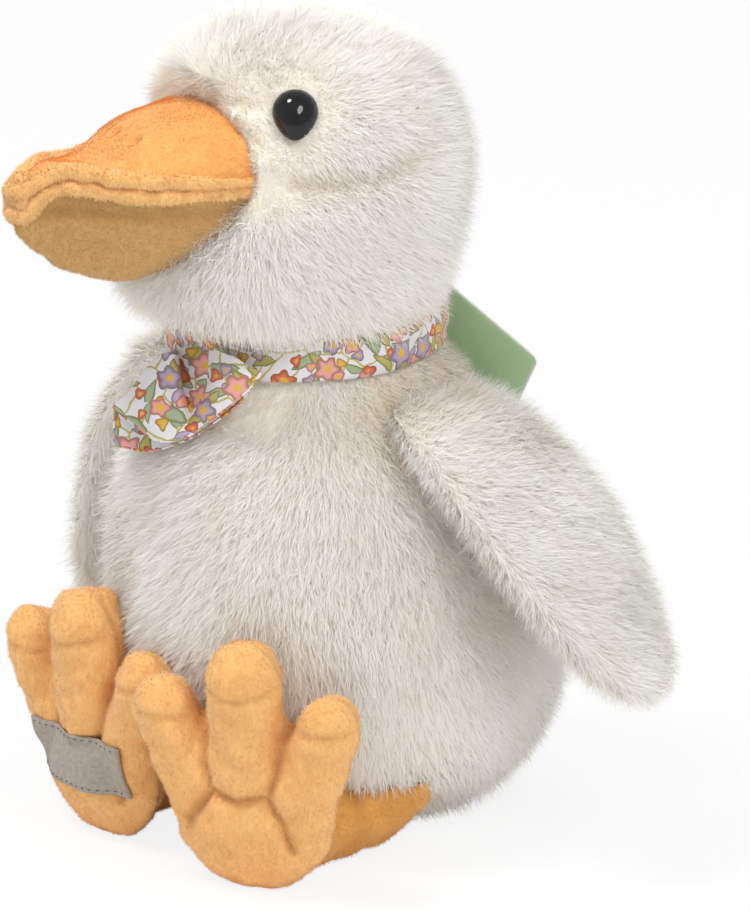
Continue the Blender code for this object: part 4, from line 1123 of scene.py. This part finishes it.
def stitch(into, start, end, radius, sides=6):
    """Adds one small stitch, a tapered bar between two points, to a bmesh."""
    start, end = Vector(start), Vector(end)
    turn = (end - start).normalized().to_track_quat("Z", "Y").to_matrix()
    rings = []
    for share, wide in ((0.0, 0.45), (0.2, 1.0), (0.8, 1.0), (1.0, 0.45)):
        ring = []
        for step in range(sides):
            angle = 2 * math.pi * step / sides
            away = turn @ Vector((math.cos(angle), math.sin(angle), 0)) * radius * wide
            ring.append(into.verts.new(start.lerp(end, share) + away))
        rings.append(ring)
    for low, high in zip(rings, rings[1:]):
        for step in range(sides):
            into.faces.new((low[step - 1], low[step], high[step], high[step - 1]))
    into.faces.new(rings[0][::-1])
    into.faces.new(rings[-1])


def sewn(name, into, finish, body, slot):
    """Makes a piece of the stitches in a bmesh."""
    bmesh.ops.recalc_face_normals(into, faces=into.faces[:])
    mesh = bpy.data.meshes.new(name)
    into.to_mesh(mesh)
    into.free()
    mesh.shade_smooth()
    dressed(name, mesh, finish, body, slot)


def build_seam_stitches(word, side, body, tree, frame_of, thread):
    """A row of stitches up the outer side of each foot, beside its seam."""
    into = bmesh.new()
    way = frame_of.to_3x3() @ Vector((-side, 0, 0))
    for step in range(16):
        up = (12 + step * 2.7) * MM
        ends = []
        for height in (up, up + 1.7 * MM):
            hit = tree.ray_cast(frame_of @ Vector((side * 60 * MM, -1.2 * MM, height)), way)[0]
            if hit is not None:
                ends.append(hit - way * 0.15 * MM)
        if len(ends) == 2:
            stitch(into, ends[0], ends[1], 0.28 * MM)
    sewn(f"foot_{word}_stitches", into, thread, body, "foot_velour")


def build_patch():
    """A bare grey cloth patch sewn on the right sole, with a stitched border."""
    made, tree, shader = principled("patch_weave", (0.40, 0.37, 0.34, 1), 0.85, Sheen_Weight=0.15)
    place = place_on(tree, "UV")
    weave = added(tree, "TexWave", {"Vector": place, "Scale": 34, "Distortion": 0.6}).outputs["Fac"]
    colour = ramp(tree, noise(tree, place, 6, 4), (0.3, (0.36, 0.31, 0.25, 1)), (0.7, (0.48, 0.43, 0.37, 1)))
    finished(tree, shader, colour, weave, 0.5, 0.15 * MM)
    sole = tree_of(bpy.data.objects["foot_right_velour"].data)
    frame_of = foot_frame("right")
    inward = frame_of.to_3x3() @ Vector((0, 1, 0))
    columns, lines = 33, 15
    rows, uv = [], []
    for line in range(lines):
        row = []
        for column in range(columns):
            across = (column / (columns - 1) - 0.5) * PATCH_WIDTH
            up = PATCH_MIDDLE + (line / (lines - 1) - 0.5) * PATCH_HEIGHT
            hit = sole.ray_cast(frame_of @ Vector((across, -60 * MM, up)), inward)[0]
            row.append(np.array(hit - inward * 0.55 * MM))
            uv.append((across / (10 * MM), up / (10 * MM)))
        rows.append(row)
    rows = np.array(rows)
    for _ in range(6):
        rows[1:-1] = (rows[:-2] + rows[1:-1] * 2 + rows[2:]) / 4
        rows[:, 1:-1] = (rows[:, :-2] + rows[:, 1:-1] * 2 + rows[:, 2:]) / 4
    out = np.array(inward)
    rows = rows - out * 0.5 * MM
    mesh = grid_mesh("sole_patch_cloth", rows, uv=uv)
    patch = dressed("sole_patch_cloth", mesh, made, "right_limb", "patch_cloth", "sole_patch")
    thickened(patch, 0.7 * MM)
    dark = principled("patch_thread", (0.16, 0.14, 0.13, 1), 0.8)[0]
    into = bmesh.new()
    for line in (1, lines - 2):
        for column in range(1, columns - 2, 2):
            start = rows[line, column] - out * 0.5 * MM
            end = rows[line, column] * 0.25 + rows[line, column + 1] * 0.75 - out * 0.5 * MM
            stitch(into, start, end, 0.2 * MM, 5)
    sewn("patch_stitches", into, dark, "right_limb", "patch_cloth")


# Scarf

# Flat places on the print are in units of seven millimetres
PRINT_UNIT = 7 * MM
BAND_WIDTH = 12.5 * MM
BAND_RADIUS = 43 * MM
FULL_TURN = 6.28
# Places in the photograph along the bow's hem, along its top and along its back sheet's hem
BOW_HEM = (
    (116, 408), (131, 420), (145, 430), (159, 440), (179, 441),
    (200, 432), (224, 414), (249, 394), (263, 377),
)
BOW_TOP = (
    (118, 404), (131, 394), (147, 373), (163, 357), (180, 352),
    (200, 343), (221, 349), (240, 361), (261, 374),
)
BOW_BACK_HEM = (
    (117, 410), (117, 442), (131, 448), (151, 451), (170, 447),
    (196, 437), (216, 424), (240, 406), (258, 384),
)


def print_material():
    """A pale cotton printed with scattered leaves, five-petalled blooms, buds and thin stems."""
    made, tree, shader = principled("scarf_print", (0.9, 0.87, 0.84, 1), 0.8, Sheen_Weight=0.15)
    flat = place_on(tree, "UV")
    inputs = {0: noise(tree, flat, 1.1, 2, "Color"), 1: (0.35, 0.35, 0), 2: flat}
    place = added(tree, "VectorMath", inputs, operation="MULTIPLY_ADD").outputs["Vector"]

    def count(operation, *values):
        return added(tree, "Math", enumerate(values), operation=operation).outputs["Value"]

    def mixed(share, under, over, **settings):
        inputs = {"Factor": share, "A": under, "B": over}
        return added(tree, "Mix", inputs, data_type="RGBA", **settings).outputs["Result"]

    def vector(operation, first, second):
        return added(tree, "VectorMath", {0: first, 1: second}, operation=operation).outputs["Vector"]

    def scatter(scale, offset):
        """Cells with a random place each: the place within the cell, turned, and two random values."""
        moved = vector("ADD", place, (offset, offset * 0.7, 0))
        inputs = {"Vector": moved, "Scale": scale, "Randomness": 0.75}
        cells = added(tree, "TexVoronoi", inputs, voronoi_dimensions="2D").outputs
        away = vector("SUBTRACT", moved, cells["Position"])
        pick = added(tree, "SeparateColor", {"Color": cells["Color"]}).outputs
        inputs = {"Vector": away, "Angle": count("MULTIPLY", pick["Blue"], FULL_TURN)}
        turn = added(tree, "VectorRotate", inputs, rotation_type="Z_AXIS").outputs["Vector"]
        parts = added(tree, "SeparateXYZ", {"Vector": turn}).outputs
        return parts["X"], parts["Y"], pick["Red"], pick["Green"]

    def drawn(under, form, pick, colours):
        """A motif where its form is under one, with a darker line round it and a lighter heart."""
        stops = [(index / len(colours), colour) for index, colour in enumerate(colours)]
        hue = ramp(tree, pick, *stops, blend="CONSTANT")
        tint = ramp(tree, form, (0.0, (1, 1, 1, 1)), (0.62, (0.9, 0.9, 0.9, 1)), (0.84, (0.5, 0.47, 0.42, 1)))
        shade = mixed(1, hue, tint, blend_type="MULTIPLY")
        return mixed(count("LESS_THAN", form, 1.0), under, shade)

    def leaves(under, scale, offset, length, width, colours):
        x, y, first, second = scatter(scale, offset)
        grown = count("MULTIPLY_ADD", second, 0.5, 0.6)
        along = count("DIVIDE", x, count("MULTIPLY", grown, length / scale))
        bent = count("MULTIPLY_ADD", count("MULTIPLY", along, along), width * 0.5 / scale, y)
        beside = count("DIVIDE", count("ABSOLUTE", bent), count("MULTIPLY", grown, width / scale))
        return drawn(under, count("MULTIPLY_ADD", along, along, beside), first, colours)

    def blooms(under, scale, offset, reach, petals, colours, heart):
        x, y, first, second = scatter(scale, offset)
        far = count("SQRT", count("ADD", count("MULTIPLY", x, x), count("MULTIPLY", y, y)))
        lobes = count("COSINE", count("MULTIPLY", count("ARCTAN2", y, x), petals))
        grown = count("MULTIPLY_ADD", second, 0.4, 0.6)
        edge = count("MULTIPLY", count("MULTIPLY_ADD", lobes, 0.16, 0.84), grown)
        over = drawn(under, count("DIVIDE", far, count("MULTIPLY", edge, reach / scale)), first, colours)
        return mixed(count("LESS_THAN", count("DIVIDE", far, reach * 0.22 / scale), 1.0), over, heart)

    ground = (0.74, 0.71, 0.73, 1)
    sage, olive, ochre = (0.36, 0.43, 0.25, 1), (0.47, 0.42, 0.12, 1), (0.70, 0.42, 0.06, 1)
    pink, coral, lilac = (0.80, 0.37, 0.33, 1), (0.70, 0.17, 0.08, 1), (0.47, 0.36, 0.50, 1)
    inputs = {"Vector": place, "Scale": 0.8}
    veins = added(tree, "TexVoronoi", inputs, voronoi_dimensions="2D", feature="DISTANCE_TO_EDGE")
    colour = mixed(count("LESS_THAN", veins.outputs["Distance"], 0.035), ground, olive)
    colour = leaves(colour, 0.85, 3.0, 0.62, 0.2, (sage, olive, sage, lilac))
    colour = leaves(colour, 0.7, 11.0, 0.6, 0.24, (olive, ochre, sage, olive))
    colour = blooms(colour, 0.95, 23.0, 0.36, 3, (lilac, pink, ochre, coral), ochre)
    colour = blooms(colour, 0.62, 37.0, 0.46, 5, (pink, pink, coral, pink, lilac), ochre)
    finished(tree, shader, colour, noise(tree, flat, 60, 2), 0.25, 0.1 * MM)
    return made


def build_scarf():
    cloth = print_material()
    around, columns = 180, 17
    rows, uv = [], []
    for angle in np.linspace(0, 2 * math.pi, around + 1):
        row = []
        circle = np.array((math.cos(angle), math.sin(angle), 0))
        sway = 0.5 * MM * math.sin(3 * angle + 1) + 0.3 * MM * math.sin(7 * angle)
        for share in np.arange(columns) / (columns - 1):
            height = NECK + (share - 0.5) * BAND_WIDTH + sway
            bulge = math.sin(math.pi * share) ** 0.5
            fold = 0.35 * MM * math.sin(2 * math.pi * share * 1.5 + 2 * math.sin(angle * 2))
            radius = 41.3 * MM + 1.1 * MM * bulge + fold * math.sin(math.pi * share)
            row.append(circle * radius + UP * height)
            uv.append((angle * BAND_RADIUS / PRINT_UNIT, share * BAND_WIDTH / PRINT_UNIT))
        rows.append(row)
    mesh = grid_mesh("scarf_band_cloth", rows, uv=uv)
    band = dressed("scarf_band_cloth", mesh, cloth, "trunk", "print_cotton", "scarf_band")
    thickened(band, 0.5 * MM)
    build_bow(cloth)


def build_bow(cloth):
    """The bow: a front sheet with a deep valley between two lobes, and a plainer sheet behind it."""
    columns, lines = 81, 41
    across = np.linspace(0, 1, columns)

    def placed(rows):
        return through(np.linspace(0, 1, len(rows)), rows, across)

    sheets = (("bow_front_cloth", BOW_HEM, 1.0, 5), ("bow_back_cloth", BOW_BACK_HEM, 0.0, 9))
    for name, hem_rows, deep, seed in sheets:
        hem, top = placed(hem_rows), placed(BOW_TOP)
        rows, uv = [], []
        for up in np.arange(lines) / (lines - 1):
            level = hem * (1 - up) + top * up
            plane = 78 + (level[:, 0] - 190) * 0.25
            fold = 0.49 + 0.09 * (1 - up)
            depth = 0.15 + 0.85 * smooth_step(0.0, 0.75, up)
            inside = smooth_step(fold - 0.012, fold + 0.03, across)
            inside = inside * (1 - smooth_step(fold + 0.05, 0.86, across))
            left = np.sin(math.pi * np.clip(across / (fold + 0.02), 0, 1)) ** 0.8
            right = np.sin(math.pi * np.clip((across - fold) / (1 - fold), 0, 1)) ** 1.2
            belly = math.sin(math.pi * (0.12 + 0.8 * up)) * 4.5
            forward = plane + deep * (belly * left + belly * 0.8 * right - 12.5 * inside * depth)
            forward = forward + deep * 3.0 * peak(across - fold + 0.03, 0.035) * depth
            if not deep:
                forward = forward - 3.2 - 2.0 * up
            forward = forward + 0.25 * np.sin(across * 34 + 5 * up) * (0.3 + 0.7 * up)
            rows.append([seen_at(x, y, f * MM) for (x, y), f in zip(level, forward)])
            uv.extend(level / VIEW_SCALE / PRINT_UNIT + seed)
        mesh = grid_mesh(name, rows, uv=uv)
        piece = dressed(name, mesh, cloth, "trunk", "print_cotton")
        thickened(piece, 0.5 * MM)
        if deep:
            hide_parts("scarf_bow", "bow_wrap")
        grid = np.array(rows)
        edge = np.concatenate((grid[::-1, 0], grid[0, 1:], grid[1:, -1]))
        dressed(f"{name}_hem", hem_mesh(f"{name}_hem", edge, 0.42 * MM, seed), cloth, "trunk", "print_cotton")


def hem_mesh(name, path, radius, seed):
    """A thin rolled hem along a path."""
    ahead = unit(np.gradient(path, axis=0))
    out = unit(np.cross(ahead, BACK))
    radii = radius * (1 + 0.12 * waves(path, 6, seed))
    far = np.concatenate(([0], np.cumsum(np.linalg.norm(np.diff(path, axis=0), axis=1))))
    uv = [(share / PRINT_UNIT + seed, step * radius / PRINT_UNIT) for share in far for step in range(8)]
    return tube(name, path, out, np.cross(out, ahead), radii, radii, 8, uv)


# Card tag, in its own plane: the hole, the lower and upper ends, half the height and the corners' radius
TAG_HOLE = Vector((0, 52.7 * MM, 150 * MM))
TAG_LOW, TAG_HIGH, TAG_HALF, TAG_CORNER = -6 * MM, 41 * MM, 15 * MM, 3 * MM
TAG_BORE = 1.6 * MM
TAG_HALF_THICKNESS = 0.4 * MM
TAG_RING_SHARES = (0.15, 0.35, 0.6, 0.85, 0.985)


def build_tag():
    # The card's green, lightened beyond its own to paint the light that shines through the card from behind
    made, tree, shader = principled("card_green", (0.58, 0.83, 0.53, 1), 0.55)
    place = place_on(tree)
    tint = noise(tree, place, 25, 2)
    colour = ramp(tree, tint, (0.3, (0.54, 0.79, 0.50, 1)), (0.7, (0.63, 0.87, 0.58, 1)))
    finished(tree, shader, colour, noise(tree, place, 1500, 3), 0.2, 0.05 * MM)
    edge = principled("card_edge", (0.82, 0.82, 0.78, 1), 0.7)[0]
    turn = Matrix.Rotation(math.radians(20), 4, "X") @ Matrix.Rotation(math.radians(36), 4, "Y")
    frame_of = Matrix.Translation(TAG_HOLE) @ turn
    outline = []
    ends = ((TAG_HIGH, TAG_HALF), (TAG_LOW, TAG_HALF), (TAG_LOW, -TAG_HALF), (TAG_HIGH, -TAG_HALF))
    for start, (x, z) in enumerate(ends):
        middle = np.array((x - math.copysign(TAG_CORNER, x), z - math.copysign(TAG_CORNER, z)))
        for step in range(9):
            angle = math.pi / 2 * (start + step / 8)
            outline.append(middle + TAG_CORNER * np.array((math.cos(angle), math.sin(angle))))
    outline = np.array(outline)
    turns = 2 * math.pi * np.arange(len(outline)) / len(outline)
    bore = TAG_BORE * np.stack((np.cos(turns), np.sin(turns)), axis=1)
    thick = TAG_HALF_THICKNESS
    rings = [(share, -thick) for share in (0, *TAG_RING_SHARES)]
    rings += [(1, -thick * 0.6), (1, thick * 0.6)]
    rings += [(share, thick) for share in (*TAG_RING_SHARES[::-1], 0)]
    rings.append((0, -thick))
    rows = []
    for share, depth in rings:
        ring = bore * (1 - share) + outline * share
        curl = 1.2 * MM * (ring[:, 0] / TAG_HIGH) ** 2 * np.sign(ring[:, 0])
        rows.append([tuple(frame_of @ Vector((x, depth + c, z))) for (x, z), c in zip(ring, curl)])
    mesh = mended(grid_mesh("tag_card_sheet", rows, closed=True), merge=True)
    mesh.set_sharp_from_angle(angle=math.radians(40))
    card = dressed("tag_card_sheet", mesh, made, "tag", "green_card", "tag_card")
    card.data.materials.append(edge)
    across = frame_of.to_3x3() @ Vector((0, 1, 0))
    flat_frame = frame_of.inverted()
    for polygon in mesh.polygons:
        spot = flat_frame @ polygon.center
        inside = min(TAG_HALF - abs(spot.z), TAG_HIGH - spot.x, spot.x - TAG_LOW)
        if inside < 0.35 * MM or abs(polygon.normal.dot(across)) < 0.6:
            polygon.material_index = 1
    clear, tree, shader = principled("pin_nylon", (0.82, 0.82, 0.80, 1), 0.35)
    finished(tree, shader, None, noise(tree, place_on(tree), 800, 2), 0.1, 0.05 * MM)
    NODES["tag_pin"].data.materials.clear()
    NODES["tag_pin"].data.materials.append(clear)


build_view()
build_studio()
build_bill()
build_eyes()
build_feet()
build_scarf()
build_tag()
build_body()
build_head()
build_wings()
build_tail()
